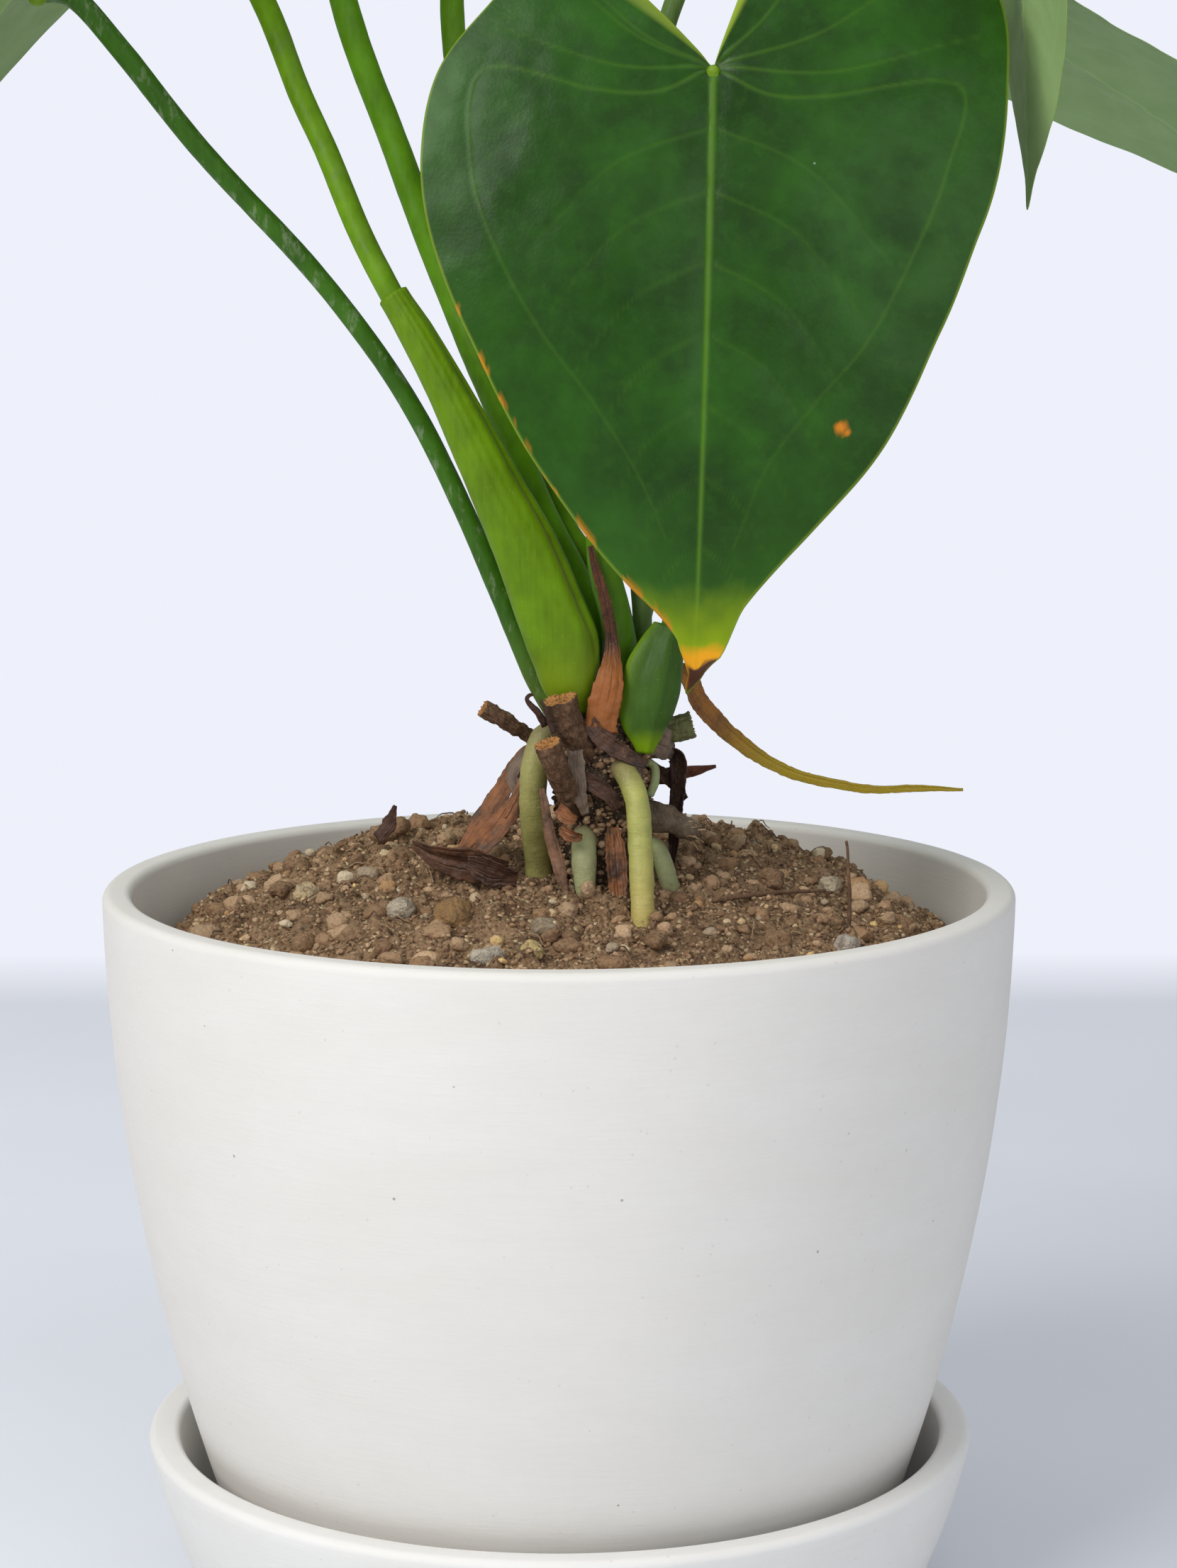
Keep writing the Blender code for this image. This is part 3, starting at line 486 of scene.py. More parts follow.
class Look:
    """A procedural material, built from short node calls."""

    def __init__(self, name):
        self.material = bpy.data.materials.new(name)
        self.material.use_nodes = True
        self.tree = self.material.node_tree
        self.shader = self.tree.nodes["Principled BSDF"]
        self.at = self.tree.nodes.new("ShaderNodeTexCoord").outputs["Object"]

    def node(self, kind, inputs=None, **settings):
        made = self.tree.nodes.new(kind)
        for key, value in settings.items():
            setattr(made, key, value)
        for key, value in (inputs or {}).items():
            self.fill(made.inputs[key], value)
        return made

    def fill(self, socket, value):
        """Link a socket, or set a plain value. A colour may come without its alpha."""
        if isinstance(value, bpy.types.NodeSocket):
            self.tree.links.new(value, socket)
        elif isinstance(value, tuple) and socket.type == "RGBA":
            socket.default_value = (*value[:3], 1)
        else:
            socket.default_value = value

    def stretched(self, scale):
        return self.node("ShaderNodeMapping", {"Vector": self.at, "Scale": scale}).outputs["Vector"]

    def noise(self, size_mm, detail=4.0, rough=0.55, vector=None):
        """Noise with features of about this size."""
        return self.node("ShaderNodeTexNoise", {"Vector": vector or self.at, "Scale": 1000.0 / size_mm,
                                                "Detail": detail, "Roughness": rough}).outputs["Fac"]

    def cells(self, size_mm):
        return self.node("ShaderNodeTexVoronoi", {"Vector": self.at, "Scale": 1000.0 / size_mm}).outputs

    def channel(self, colour, index):
        return self.node("ShaderNodeSeparateColor", {"Color": colour}).outputs[index]

    def dots(self, size_mm, inner, outer, channel, rarity):
        """Round dots in some of the cells of this size."""
        cells = self.cells(size_mm)
        chosen = self.math("GREATER_THAN", self.channel(cells["Color"], channel), rarity)
        return self.math("MULTIPLY", self.share(cells["Distance"], inner, outer, 1, 0), chosen)

    def ramp(self, value, *stops):
        made = self.node("ShaderNodeValToRGB", {"Fac": value})
        ramp = made.color_ramp
        while len(ramp.elements) < len(stops):
            ramp.elements.new(0.5)
        for element, (place, colour) in zip(ramp.elements, stops):
            element.position = place
            element.color = colour if len(colour) == 4 else (*colour, 1)
        return made.outputs["Color"]

    def share(self, value, low, high, to_low=0.0, to_high=1.0):
        return self.node("ShaderNodeMapRange", {"Value": value, "From Min": low, "From Max": high,
                                                "To Min": to_low, "To Max": to_high}).outputs["Result"]

    def math(self, operation, a, b):
        return self.node("ShaderNodeMath", {0: a, 1: b}, operation=operation).outputs[0]

    def blend(self, *parts):
        """The sum of these (value, weight) pairs."""
        scaled = [self.math("MULTIPLY", value, weight) for value, weight in parts]
        total = scaled[0]
        for part in scaled[1:]:
            total = self.math("ADD", total, part)
        return total

    def mix(self, share, low, high):
        return self.node("ShaderNodeMix", {0: share, 6: low, 7: high}, data_type="RGBA").outputs[2]

    def over(self, base, value, low, high, most, colour):
        """This colour over the base, from none at low to its most at high."""
        return self.mix(self.share(value, low, high, 0, most), base, colour)

    def attribute(self, name, colour=False):
        return self.node("ShaderNodeAttribute", attribute_name=name).outputs["Color" if colour else "Fac"]

    def height(self):
        """Metres above the ground."""
        return self.node("ShaderNodeSeparateXYZ", {"Vector": self.at}).outputs["Z"]

    def bump(self, height, distance_mm, strength=1.0):
        inputs = {"Height": height, "Distance": distance_mm * MM, "Strength": strength}
        return self.node("ShaderNodeBump", inputs).outputs["Normal"]

    def finish(self, colour, roughness, normal=None, **constants):
        known = {"Base Color": colour, "Roughness": roughness, "Normal": normal}
        known.update({key.replace("_", " "): value for key, value in constants.items()})
        for key, value in known.items():
            if value is not None:
                self.fill(self.shader.inputs[key], value)
        return self.material


def times(tone, share, extra=0.0):
    return tuple(min(value * share + extra, 1) for value in tone)


def stone_look(name, shade):
    """Moulded stone composite: off-white, faintly brushed round its height, with specks and pin holes."""
    look = Look(name)
    broad = look.noise(38, 3, 0.5, look.stretched((1, 1, 3.2)))
    mottled = look.noise(7, 4, 0.6)
    brushed = look.noise(5, 5, 0.62, look.stretched((0.55, 0.55, 9)))
    grain = look.noise(0.55, 3, 0.6)
    base = look.ramp(broad, (0.3, tuple(c * s for c, s in zip(shade, (0.965, 0.96, 0.945)))), (0.7, shade))
    base = look.over(base, mottled, 0.35, 0.75, 0.16, times(shade, 0.90))
    base = look.over(base, brushed, 0.42, 0.72, 0.20, times(shade, 0.88))
    pin = look.dots(6.5, 0.028, 0.055, 0, 0.80)
    base = look.mix(look.math("MULTIPLY", pin, 0.75), base, (0.30, 0.25, 0.19))
    speck = look.dots(2.2, 0.10, 0.17, 1, 0.90)
    base = look.mix(look.math("MULTIPLY", speck, 0.28), base, (0.50, 0.45, 0.38))
    relief = look.blend((brushed, 0.6), (grain, 0.4))
    normal = look.bump(look.blend((relief, 1), (pin, -1.5)), 0.16, 0.55)
    return look.finish(base, look.share(mottled, 0.3, 0.7, 0.62, 0.78), normal, Specular_IOR_Level=0.35)


def soil_look(name):
    """Moist potting mix: brown grit with pale and dark grains."""
    look = Look(name)
    clods = look.noise(8, 5, 0.7)
    damp = look.noise(30, 2, 0.5)
    fine = look.noise(0.8, 5, 0.75)
    grains = look.cells(0.75)
    tone = look.node("ShaderNodeSeparateColor", {"Color": grains["Color"]}).outputs
    base = look.ramp(clods, (0.30, (0.100, 0.052, 0.026)), (0.5, (0.290, 0.170, 0.090)),
                     (0.72, (0.470, 0.310, 0.180)))
    base = look.over(base, fine, 0.42, 0.68, 0.75, (0.42, 0.27, 0.155))
    base = look.over(base, fine, 0.46, 0.30, 0.85, (0.050, 0.028, 0.016))
    base = look.over(base, tone[0], 0.70, 1.0, 0.75, (0.52, 0.36, 0.205))
    base = look.mix(look.math("GREATER_THAN", tone[1], 0.955), base, (0.72, 0.57, 0.34))
    base = look.over(base, tone[2], 0.70, 0.95, 0.7, (0.045, 0.026, 0.016))
    base = look.over(base, damp, 0.4, 0.65, 0.30, (0.075, 0.044, 0.025))
    relief = look.blend((fine, 0.8), (grains["Distance"], -0.7))
    return look.finish(base, look.share(fine, 0.2, 0.8, 0.86, 0.98), look.bump(relief, 0.8, 1.0),
                       Specular_IOR_Level=0.2)


def crumb_look(name):
    """Crumbs and small stones, each with its own tint from the mesh."""
    look = Look(name)
    own = look.attribute("tint", True)
    fine = look.noise(0.8, 4, 0.65)
    pits = look.cells(0.9)
    base = look.mix(look.share(fine, 0.40, 0.70, 0, 0.55), own, (0.40, 0.27, 0.16))
    base = look.over(base, fine, 0.46, 0.28, 0.7, (0.07, 0.042, 0.025))
    base = look.mix(look.share(pits["Distance"], 0.0, 0.22, 0.35, 0), base, (0.07, 0.045, 0.03))
    relief = look.blend((fine, 1), (pits["Distance"], 0.6))
    return look.finish(base, look.share(fine, 0.2, 0.8, 0.82, 0.96), look.bump(relief, 0.45, 1.0),
                       Specular_IOR_Level=0.25)


def petiole_look(name, tone, scurf=0.0):
    """Fleshy green stalk: fine lengthwise streaks, paler patches, a paler foot and, where it has it, grey
    scurf.
    """
    look = Look(name)
    long_streaks = look.noise(1.5, 3, 0.6, look.stretched((1, 1, 0.06)))
    patches = look.noise(10, 3, 0.6)
    fine = look.noise(0.5, 3, 0.6)
    light = times(tone, 1.35, 0.004)
    dark = times(tone, 0.72)
    base = look.ramp(patches, (0.3, dark), (0.55, tone), (0.8, light))
    base = look.over(base, long_streaks, 0.42, 0.7, 0.35, light)
    foot = look.share(look.height(), 0.196, 0.222, 1, 0)
    base = look.mix(look.math("MULTIPLY", foot, 0.45), base, (0.20, 0.26, 0.05))
    if scurf:
        flecks = look.noise(2.6, 5, 0.7, look.stretched((1, 1, 0.35)))
        base = look.over(base, flecks, 0.54, 0.66, scurf, (0.24, 0.30, 0.17))
    normal = look.bump(look.blend((long_streaks, 1), (fine, 0.4)), 0.14, 0.5)
    return look.finish(base, look.share(patches, 0.3, 0.7, 0.40, 0.54), normal, Specular_IOR_Level=0.20,
                       Subsurface_Weight=0.08, Subsurface_Radius=(0.0012, 0.0020, 0.0002),
                       Subsurface_Scale=1.0)


def sheath_look(name, tone, edge_tone, tan=False):
    """Fleshy green sheath, streaked along its length, with an edge or foot of another tone from the mesh."""
    look = Look(name)
    streaks = look.noise(1.1, 4, 0.6, look.stretched((1, 1, 0.05)))
    patches = look.noise(9, 3, 0.55)
    fine = look.noise(0.45, 3, 0.6)
    flecks = look.cells(1.6)
    base = look.ramp(patches, (0.3, times(tone, 0.8)), (0.7, times(tone, 1.25)))
    base = look.over(base, streaks, 0.4, 0.7, 0.35, times(tone, 1.4))
    base = look.mix(look.attribute("edge"), base, edge_tone)
    base = look.mix(look.share(flecks["Distance"], 0.06, 0.12, 0.30, 0), base, (0.34, 0.42, 0.12))
    if tan:
        base = look.mix(look.attribute("tan"), base, (0.42, 0.27, 0.11))
    normal = look.bump(look.blend((streaks, 1), (fine, 0.4)), 0.2, 0.5)
    return look.finish(base, look.share(streaks, 0.3, 0.7, 0.38, 0.52), normal, Specular_IOR_Level=0.20,
                       Subsurface_Weight=0.08, Subsurface_Radius=(0.0015, 0.0022, 0.0002),
                       Subsurface_Scale=1.0)


def root_look(name, tone, soil_top, low_tone=None):
    """Aerial root: pale waxy skin with flecks, and soil stuck to it below a height in metres."""
    look = Look(name)
    patches = look.noise(5, 4, 0.6)
    fine = look.noise(0.55, 4, 0.65)
    rings = look.noise(1.4, 3, 0.6, look.stretched((0.3, 0.3, 2.2)))
    base = look.ramp(patches, (0.28, times(tone, 0.78)), (0.55, tone), (0.8, times(tone, 1.2)))
    if low_tone:
        base = look.mix(look.share(look.height(), soil_top + 0.016, soil_top, 0, 0.85), base, low_tone)
    base = look.over(base, rings, 0.45, 0.75, 0.35, times(tone, 0.72))
    base = look.over(base, look.attribute("along"), 0.26, 0.10, 0.9, (0.16, 0.11, 0.07))
    base = look.over(base, fine, 0.58, 0.7, 0.4, (0.58, 0.56, 0.32))
    dirt = look.math("ADD", look.share(look.height(), soil_top - 0.006, soil_top + 0.010, 0.32, -0.28),
                     look.noise(1.6, 4, 0.7))
    base = look.over(base, dirt, 0.62, 0.76, 0.9, (0.20, 0.14, 0.085))
    relief = look.blend((rings, 0.6), (fine, 0.6))
    return look.finish(base, look.share(dirt, 0.5, 0.8, 0.48, 0.92), look.bump(relief, 0.28, 0.7),
                       Specular_IOR_Level=0.4,
                       Subsurface_Weight=0.08, Subsurface_Radius=(0.001, 0.001, 0.0005), Subsurface_Scale=1.0)


def bark_look(name, low, middle, high, face=None):
    """Old brown tissue, fibrous and dusty with soil. face is the colour of a cut, where the mesh has one."""
    look = Look(name)
    fibres = look.noise(1.0, 5, 0.65, look.stretched((1, 1, 0.12)))
    clumps = look.noise(4, 5, 0.7)
    fine = look.noise(0.4, 4, 0.7)
    base = look.ramp(clumps, (0.3, low), (0.52, middle), (0.75, high))
    base = look.mix(look.share(fibres, 0.38, 0.68, 0.5, 0), base, low)
    base = look.over(base, fine, 0.52, 0.72, 0.6, (0.33, 0.24, 0.155))
    relief = look.blend((fibres, 0.7), (fine, 0.5))
    if face:
        pores = look.cells(0.7)
        cut = look.mix(look.share(pores["Distance"], 0.15, 0.45, 1, 0), face, times(face, 0.28))
        base = look.mix(look.attribute("cut"), base, cut)
    return look.finish(base, look.share(fine, 0.3, 0.7, 0.78, 0.95), look.bump(relief, 0.6, 0.9),
                       Specular_IOR_Level=0.25)


def dry_look(name, dark, rust, gold, gold_share):
    """Papery dried bract: brown to rust with veins along it, going gold or green where the mesh says."""
    look = Look(name)
    veins = look.attribute("veins")
    patches = look.noise(5, 5, 0.65)
    fine = look.noise(0.6, 4, 0.6)
    base = look.ramp(patches, (0.32, dark), (0.55, rust), (0.78, times(rust, 1.5)))
    base = look.over(base, veins, 0.4, 1.0, 0.55, dark)
    if gold_share:
        base = look.mix(look.attribute("gold"), base, gold)
    base = look.over(base, fine, 0.56, 0.72, 0.35, (0.30, 0.22, 0.15))
    relief = look.blend((veins, -0.8), (fine, 0.4))
    return look.finish(base, look.share(patches, 0.3, 0.7, 0.5, 0.75), look.bump(relief, 0.35, 0.7),
                       Specular_IOR_Level=0.4)


def leaf_look(name, deep, bright, under, glow):
    """Leaf blade. The mesh gives its veins, margin, tip, spots and which side is the underside."""
    look = Look(name)
    patches = look.noise(24, 3, 0.5)
    cloudy = look.noise(9, 4, 0.6)
    cells = look.cells(0.8)
    fine = look.noise(0.5, 3, 0.6)
    mottle = look.noise(3.2, 4, 0.65)
    base = look.ramp(patches, (0.34, times(deep, 0.75)), (0.66, times(deep, 1.7, 0.002)))
    base = look.over(base, cloudy, 0.42, 0.68, 0.55, times(deep, 0.55))
    base = look.over(base, mottle, 0.48, 0.72, 0.35, times(deep, 2.0, 0.003))
    base = look.mix(look.attribute("young"), base, bright)
    base = look.mix(look.math("MULTIPLY", look.attribute("vein"), 0.85), base, glow)
    tip = look.attribute("tip")
    base = look.over(base, tip, 0.0, 0.52, 1, (0.225, 0.330, 0.001))
    base = look.over(base, tip, 0.53, 0.64, 1, (0.80, 0.36, 0.008))
    base = look.over(base, tip, 0.685, 0.72, 1, (0.085, 0.036, 0.022))
    base = look.mix(look.attribute("margin"), base, (0.26, 0.36, 0.03))
    base = look.mix(look.attribute("spot"), base, (0.62, 0.20, 0.010))
    speck = look.dots(8, 0.020, 0.045, 2, 0.5)
    base = look.mix(look.math("MULTIPLY", speck, 0.6), base, (0.45, 0.58, 0.42))
    pale = look.mix(look.share(cloudy, 0.3, 0.8, 0, 0.5), under, times(under, 0.75))
    pale = look.mix(look.math("MULTIPLY", look.attribute("vein"), 0.6), pale, times(under, 1.35))
    base = look.mix(look.attribute("underside"), base, pale)
    relief = look.blend((cells["Distance"], 0.5), (fine, 0.5))
    relief = look.blend((relief, 1), (cloudy, 0.9))
    rough = look.share(cloudy, 0.3, 0.75, 0.30, 0.44)
    rough = look.blend((rough, 1), (look.attribute("underside"), 0.2))
    return look.finish(base, rough, look.bump(relief, 0.14, 0.3), Specular_IOR_Level=0.19,
                       Subsurface_Weight=0.04,
                       Subsurface_Radius=(0.0004, 0.0010, 0.0002), Subsurface_Scale=1.0)


# ---------------------------------------------------------------- pot and saucer

def pot_outer(z):
    drop = POT_RIM_Z - z
    return POT_RIM_RADIUS - POT_DRAW * drop - POT_CURVE * drop**2


def pot_inner(z):
    return pot_outer(z) - POT_WALL


def saucer_outer(z):
    drop = SAUCER_RIM_Z - z
    return SAUCER_RIM_RADIUS - SAUCER_DRAW * drop - SAUCER_CURVE * drop**2


def arc(centre_r, centre_z, radius, from_deg, to_deg, steps=8):
    turn = (to_deg - from_deg) / steps
    angles = [math.radians(from_deg + turn * step) for step in range(steps + 1)]
    return [(centre_r + radius * math.cos(a), centre_z + radius * math.sin(a)) for a in angles]


def turned(profile, wobble, seed):
    """A hardly uneven body turned about Z from a closed (radius, height) profile, down its outer side."""
    radii, heights = np.array(profile).T
    angles = np.linspace(0, 2 * math.pi, ROUND_STEPS, endpoint=False)
    ring = np.stack([np.cos(angles), np.sin(angles), np.zeros(ROUND_STEPS)], axis=1)
    points = (radii[:, None, None] * ring + heights[:, None, None] * np.array([0, 0, 1.0])).reshape(-1, 3)
    points += np.tile(ring, (len(profile), 1)) * (layered(points, 26, 3, seed) * wobble)[:, None]
    points[:, 2] += layered(points, 30, 2, seed + 5) * wobble * 0.4 * (points[:, 2] > 1)
    quads = grid_faces(len(profile) + 1, ROUND_STEPS)
    faces = [flipped([index % len(points) for index in face]) for face in quads]
    return points, faces


def levels(top, bottom, count):
    return [top + (bottom - top) * step / (count - 1) for step in range(count)]


def build_pot():
    floor_z = POT_FOOT_Z + POT_FLOOR
    top = POT_RIM_Z - POT_EDGE
    profile = [(pot_outer(z), z) for z in levels(top, POT_FOOT_Z + POT_FOOT, 40)]
    foot_r = pot_outer(POT_FOOT_Z + POT_FOOT) - POT_FOOT
    profile += arc(foot_r, POT_FOOT_Z + POT_FOOT, POT_FOOT, -20, -90)
    profile += [(DRAIN_RADIUS + 0.6, POT_FOOT_Z), (DRAIN_RADIUS, POT_FOOT_Z + 0.6),
                (DRAIN_RADIUS, floor_z - 0.6),
                (DRAIN_RADIUS + 0.6, floor_z)]
    inner_r = pot_inner(floor_z + POT_FOOT) - POT_FOOT
    profile += arc(inner_r, floor_z + POT_FOOT, POT_FOOT, -90, -15)
    profile += [(pot_inner(z), z) for z in levels(floor_z + POT_FOOT, top, 30)]
    profile += arc(pot_inner(top) + POT_EDGE, top, POT_EDGE, 168, 90)
    profile += arc(pot_outer(top) - POT_EDGE, top, POT_EDGE, 90, 12)
    points, faces = turned(profile, 0.16, 3)
    piece("pot_body", points, faces, stone_look("pot_stone", (0.765, 0.742, 0.700)), ["pot"])


def build_saucer():
    top = SAUCER_RIM_Z - SAUCER_EDGE
    inner_bottom = SAUCER_FLOOR + SAUCER_FOOT
    inner_r = saucer_outer(inner_bottom) - SAUCER_WALL - SAUCER_FOOT
    profile = [(0.4, SAUCER_FLOOR), (30, SAUCER_FLOOR)] + arc(inner_r, inner_bottom, SAUCER_FOOT, -90, -20)
    profile += [(saucer_outer(z) - SAUCER_WALL, z) for z in levels(inner_bottom, top, 18)]
    profile += arc(saucer_outer(top) - SAUCER_WALL + SAUCER_EDGE, top, SAUCER_EDGE, 165, 90)
    profile += arc(saucer_outer(top) - SAUCER_EDGE, top, SAUCER_EDGE, 90, 15)
    profile += [(saucer_outer(z), z) for z in levels(top, SAUCER_FOOT, 18)]
    profile += arc(saucer_outer(SAUCER_FOOT) - SAUCER_FOOT, SAUCER_FOOT, SAUCER_FOOT, -20, -90)
    profile += [(30, 0), (0.4, 0)]
    points, faces = turned(profile, 0.12, 9)
    faces = [face[::-1] for face in faces]
    piece("saucer_body", points, faces, stone_look("saucer_stone", (0.80, 0.79, 0.76)), ["saucer"])


# ---------------------------------------------------------------- soil

def soil_z(x, y):
    share = np.minimum(np.hypot(x, y) / SOIL_RADIUS, 1)
    return SOIL_PEAK - SOIL_FALL * share**3 + SOIL_TILT * y * (1 - share**2)


def soil_top(x, y):
    """Height of the crumbled surface."""
    x, y = np.asarray(x, float), np.asarray(y, float)
    flat = np.stack([x, y, np.zeros_like(x)], axis=-1).reshape(-1, 3)
    rough = layered(flat, 13, 4, 5, 0.6) * 2.0 + layered(flat, 2.6, 4, 8, 0.65) * 1.2
    clods = np.maximum(layered(flat, 6.5, 3, 21, 0.55) - 0.08, 0) * 4.2
    near_wall = smooth_step(93.5, 88, np.hypot(flat[:, 0], flat[:, 1]))
    return soil_z(x, y) + ((rough + clods) * (0.35 + 0.65 * near_wall)).reshape(x.shape)


def build_soil():
    """A crumbled heap over the whole pot, with a side that goes down inside the wall."""
    rings, sides, side_rings = 230, 560, 8
    edge_z = SOIL_PEAK - SOIL_FALL
    angles = np.linspace(0, 2 * math.pi, sides, endpoint=False)
    radii = (pot_inner(edge_z) - 0.5) * (np.arange(1, rings + 1) / rings) ** 0.92
    x, y = radii[:, None] * np.cos(angles), radii[:, None] * np.sin(angles)
    points = [np.stack([x, y, soil_top(x, y)], axis=2).reshape(-1, 3)]
    for depth in np.linspace(0.12, 1, side_rings):
        level = edge_z * (1 - depth) + SOIL_BOTTOM * depth
        radius = pot_inner(max(level, SOIL_BOTTOM + POT_FOOT)) - 0.6 - (POT_FOOT if depth == 1 else 0)
        points.append(np.stack([radius * np.cos(angles), radius * np.sin(angles), np.full(sides, level)],
                               axis=1))
    points = np.vstack([*points, [[0, 0, float(soil_top(0.0, 0.0))], [0, 0, SOIL_BOTTOM]]])
    rows = rings + side_rings
    faces = grid_faces(rows, sides) + end_fans(rows, sides, len(points) - 2, len(points) - 1)
    piece("soil_heap", points, [flipped(face) for face in faces], soil_look("soil_brown"), ["soil"])


def ball(subdivisions):
    shape = bmesh.new()
    bmesh.ops.create_icosphere(shape, subdivisions=subdivisions, radius=1)
    points = np.array([tuple(v.co) for v in shape.verts])
    faces = [tuple(v.index for v in f.verts) for f in shape.faces]
    shape.free()
    return points, faces


CROWN_PLACE = (9.5, -12.0)
ROOT_FOOT = (0.52, 0.40, 0.12)
BALLS = {step: ball(step) for step in (1, 2, 3, 4)}


def lump(rng, size, flat=0.75, rough=0.28, steps=2):
    """A crumb or pebble of about this half size."""
    points, faces = BALLS[steps]
    shift = np.array([rng.uniform(-50, 50) for _ in range(3)])
    swell = 1 + rough * layered(points + shift, 0.9, 3, 31, 0.6)
    scale = np.array([rng.uniform(0.75, 1.15), rng.uniform(0.75, 1.15),
                      flat * rng.uniform(0.75, 1.15)]) * size
    spin = Matrix.Rotation(rng.uniform(0, 6.28), 3, "Z")
    turn = np.array(spin @ Matrix.Rotation(rng.uniform(-0.5, 0.5), 3, "X"))
    return (points * swell[:, None] * scale) @ turn.T, faces


CRUMB_TINTS = (
    (0.270, 0.155, 0.080), (0.350, 0.215, 0.118), (0.440, 0.285, 0.165), (0.520, 0.350, 0.210),
    (0.200, 0.112, 0.058),
)
PEBBLE_TINTS = (
    (0.70, 0.50, 0.26), (0.72, 0.56, 0.34), (0.60, 0.38, 0.18), (0.50, 0.28, 0.13), (0.72, 0.60, 0.42),
    (0.80, 0.56, 0.24),
    (0.42, 0.33, 0.23),
)

FIBRE_TINTS = ((0.20, 0.12, 0.07), (0.33, 0.22, 0.13), (0.10, 0.06, 0.04))
FRAYED_TINTS = ((0.62, 0.46, 0.27), (0.50, 0.34, 0.19), (0.30, 0.19, 0.11))


def gather(name, lumps, material):
    """One piece from many small lumps, each with its own tint."""
    points, faces, tints, base = [], [], [], 0
    for part_points, part_faces, tint in lumps:
        points.append(part_points)
        faces += [tuple(base + i for i in face) for face in part_faces]
        tints.append(np.tile(tint, (len(part_points), 1)))
        base += len(part_points)
    return piece(name, np.vstack(points), faces, material, (), shares={"tint": np.vstack(tints)})


def strewn(rng, reach):
    """A place on a disc of this radius."""
    radius = reach * math.sqrt(rng.random())
    angle = rng.uniform(0, 2 * math.pi)
    return radius * math.cos(angle), radius * math.sin(angle)


def scatter(rng, count, reach, clear, sizes, lift, flat, rough, tints, spread_of_tint=0.25):
    """Lumps strewn over the soil. sizes: least half size, the range above it, how rare large ones are."""
    lumps = []
    low, span, rare = sizes
    for _ in range(count):
        x, y = strewn(rng, reach)
        size = low + span * rng.random() ** rare
        if math.hypot(x - CROWN_PLACE[0], y - CROWN_PLACE[1]) < clear + size:
            continue
        steps = 1 if size < 0.55 else (2 if size < 1.3 else 3)
        points, faces = lump(rng, size, flat, rough, steps)
        tint = np.array(rng.choice(tints)) * rng.uniform(1 - spread_of_tint, 1 + spread_of_tint)
        lumps.append((points + [x, y, float(soil_top(x, y)) + size * lift], faces, tint))
    return lumps


def build_crumbs():
    rng = random.Random(41)
    grit = scatter(rng, 9000, 90.5, 8, (0.22, 0.45, 2.0), 0.4, 0.85, 0.30, CRUMB_TINTS, 0.35)
    clods = scatter(rng, 900, 88, 10, (0.7, 2.3, 3.0), 0.05, 0.75, 0.55, CRUMB_TINTS)
    gather("soil_crumbs", grit + clods, crumb_look("soil_crumb"))
    pebbles = scatter(rng, 260, 88, 12, (0.4, 1.0, 2.2), 0.25, 0.8, 0.38, PEBBLE_TINTS, 0.12)
    pebbles += scatter(rng, 46, 84, 15, (1.2, 1.6, 1.5), 0.15, 0.75, 0.42, PEBBLE_TINTS, 0.12)
    gather("soil_pebbles", pebbles, crumb_look("soil_pebble"))


def build_fibres():
    """Short bark fibres and root threads lying on the soil."""
    rng = random.Random(7)
    fibres = []
    for _ in range(150):
        x, y = strewn(rng, 84)
        length, way = rng.uniform(3, 11), rng.uniform(0, 2 * math.pi)
        bend = rng.uniform(-0.8, 0.8)
        route = []
        for t in (step / 6 for step in range(7)):
            px, py = x + math.cos(way + bend * t) * length * t, y + math.sin(way + bend * t) * length * t
            if math.hypot(px, py) > 90:
                break
            route.append((px, py, float(soil_top(px, py)) + 0.6 + 1.2 * math.sin(math.pi * t) * rng.random()))
        if len(route) < 4:
            continue
        route = even_route(route, 0.8)
        points, faces, _, _ = tube_mesh(route, np.linspace(0.22, 0.10, len(route)), 7)
        fibres.append((points, faces, rng.choice(FIBRE_TINTS)))
    gather("soil_fibres", fibres, crumb_look("soil_fibre"))


def stone_material(name, tone):
    look = Look(name)
    broad = look.noise(2.6, 4, 0.6)
    fine = look.noise(0.5, 4, 0.7)
    pores = look.cells(0.75)
    base = look.ramp(broad, (0.3, times(tone, 0.62)), (0.55, tone), (0.8, times(tone, 1.2)))
    base = look.mix(look.share(pores["Distance"], 0.05, 0.26, 0.75, 0), base, (0.13, 0.085, 0.05))
    dust = look.share(look.noise(1.5, 4, 0.7), 0.50, 0.64, 0, 0.75)
    base = look.mix(dust, base, (0.19, 0.13, 0.08))
    relief = look.math("ADD", fine, pores["Distance"])
    return look.finish(base, look.share(fine, 0.2, 0.8, 0.8, 0.96), look.bump(relief, 0.5, 0.9),
                       Specular_IOR_Level=0.25)


def build_stones():
    for index, (place, half, turn, tone) in enumerate(STONES):
        points, faces = BALLS[4]
        shift = np.array([index * 7.3, 3.1, 0])
        swell = 1 + 0.34 * layered(points + shift, 0.9, 3, 13) + 0.09 * layered(points + shift, 0.2, 2, 4)
        pits = np.minimum(value_noise(points + shift, 0.25, 71) + 0.30, 0) * 0.16
        shaped = points * (swell + pits)[:, None] * np.array(half)
        spin = np.array(Matrix.Rotation(math.radians(turn), 3, "Z"))
        x, y = place
        sink = half[2] * (1 - 2 * STONE_SINK)
        shaped = shaped @ spin.T + [x, y, float(soil_z(x, y)) + sink + 0.4]
        piece(f"stone_pitted_{index + 1}", shaped, faces, stone_material(f"stone_{index + 1}_tone", tone),
              [f"stone_{index + 1}"])


# ---------------------------------------------------------------- leaves

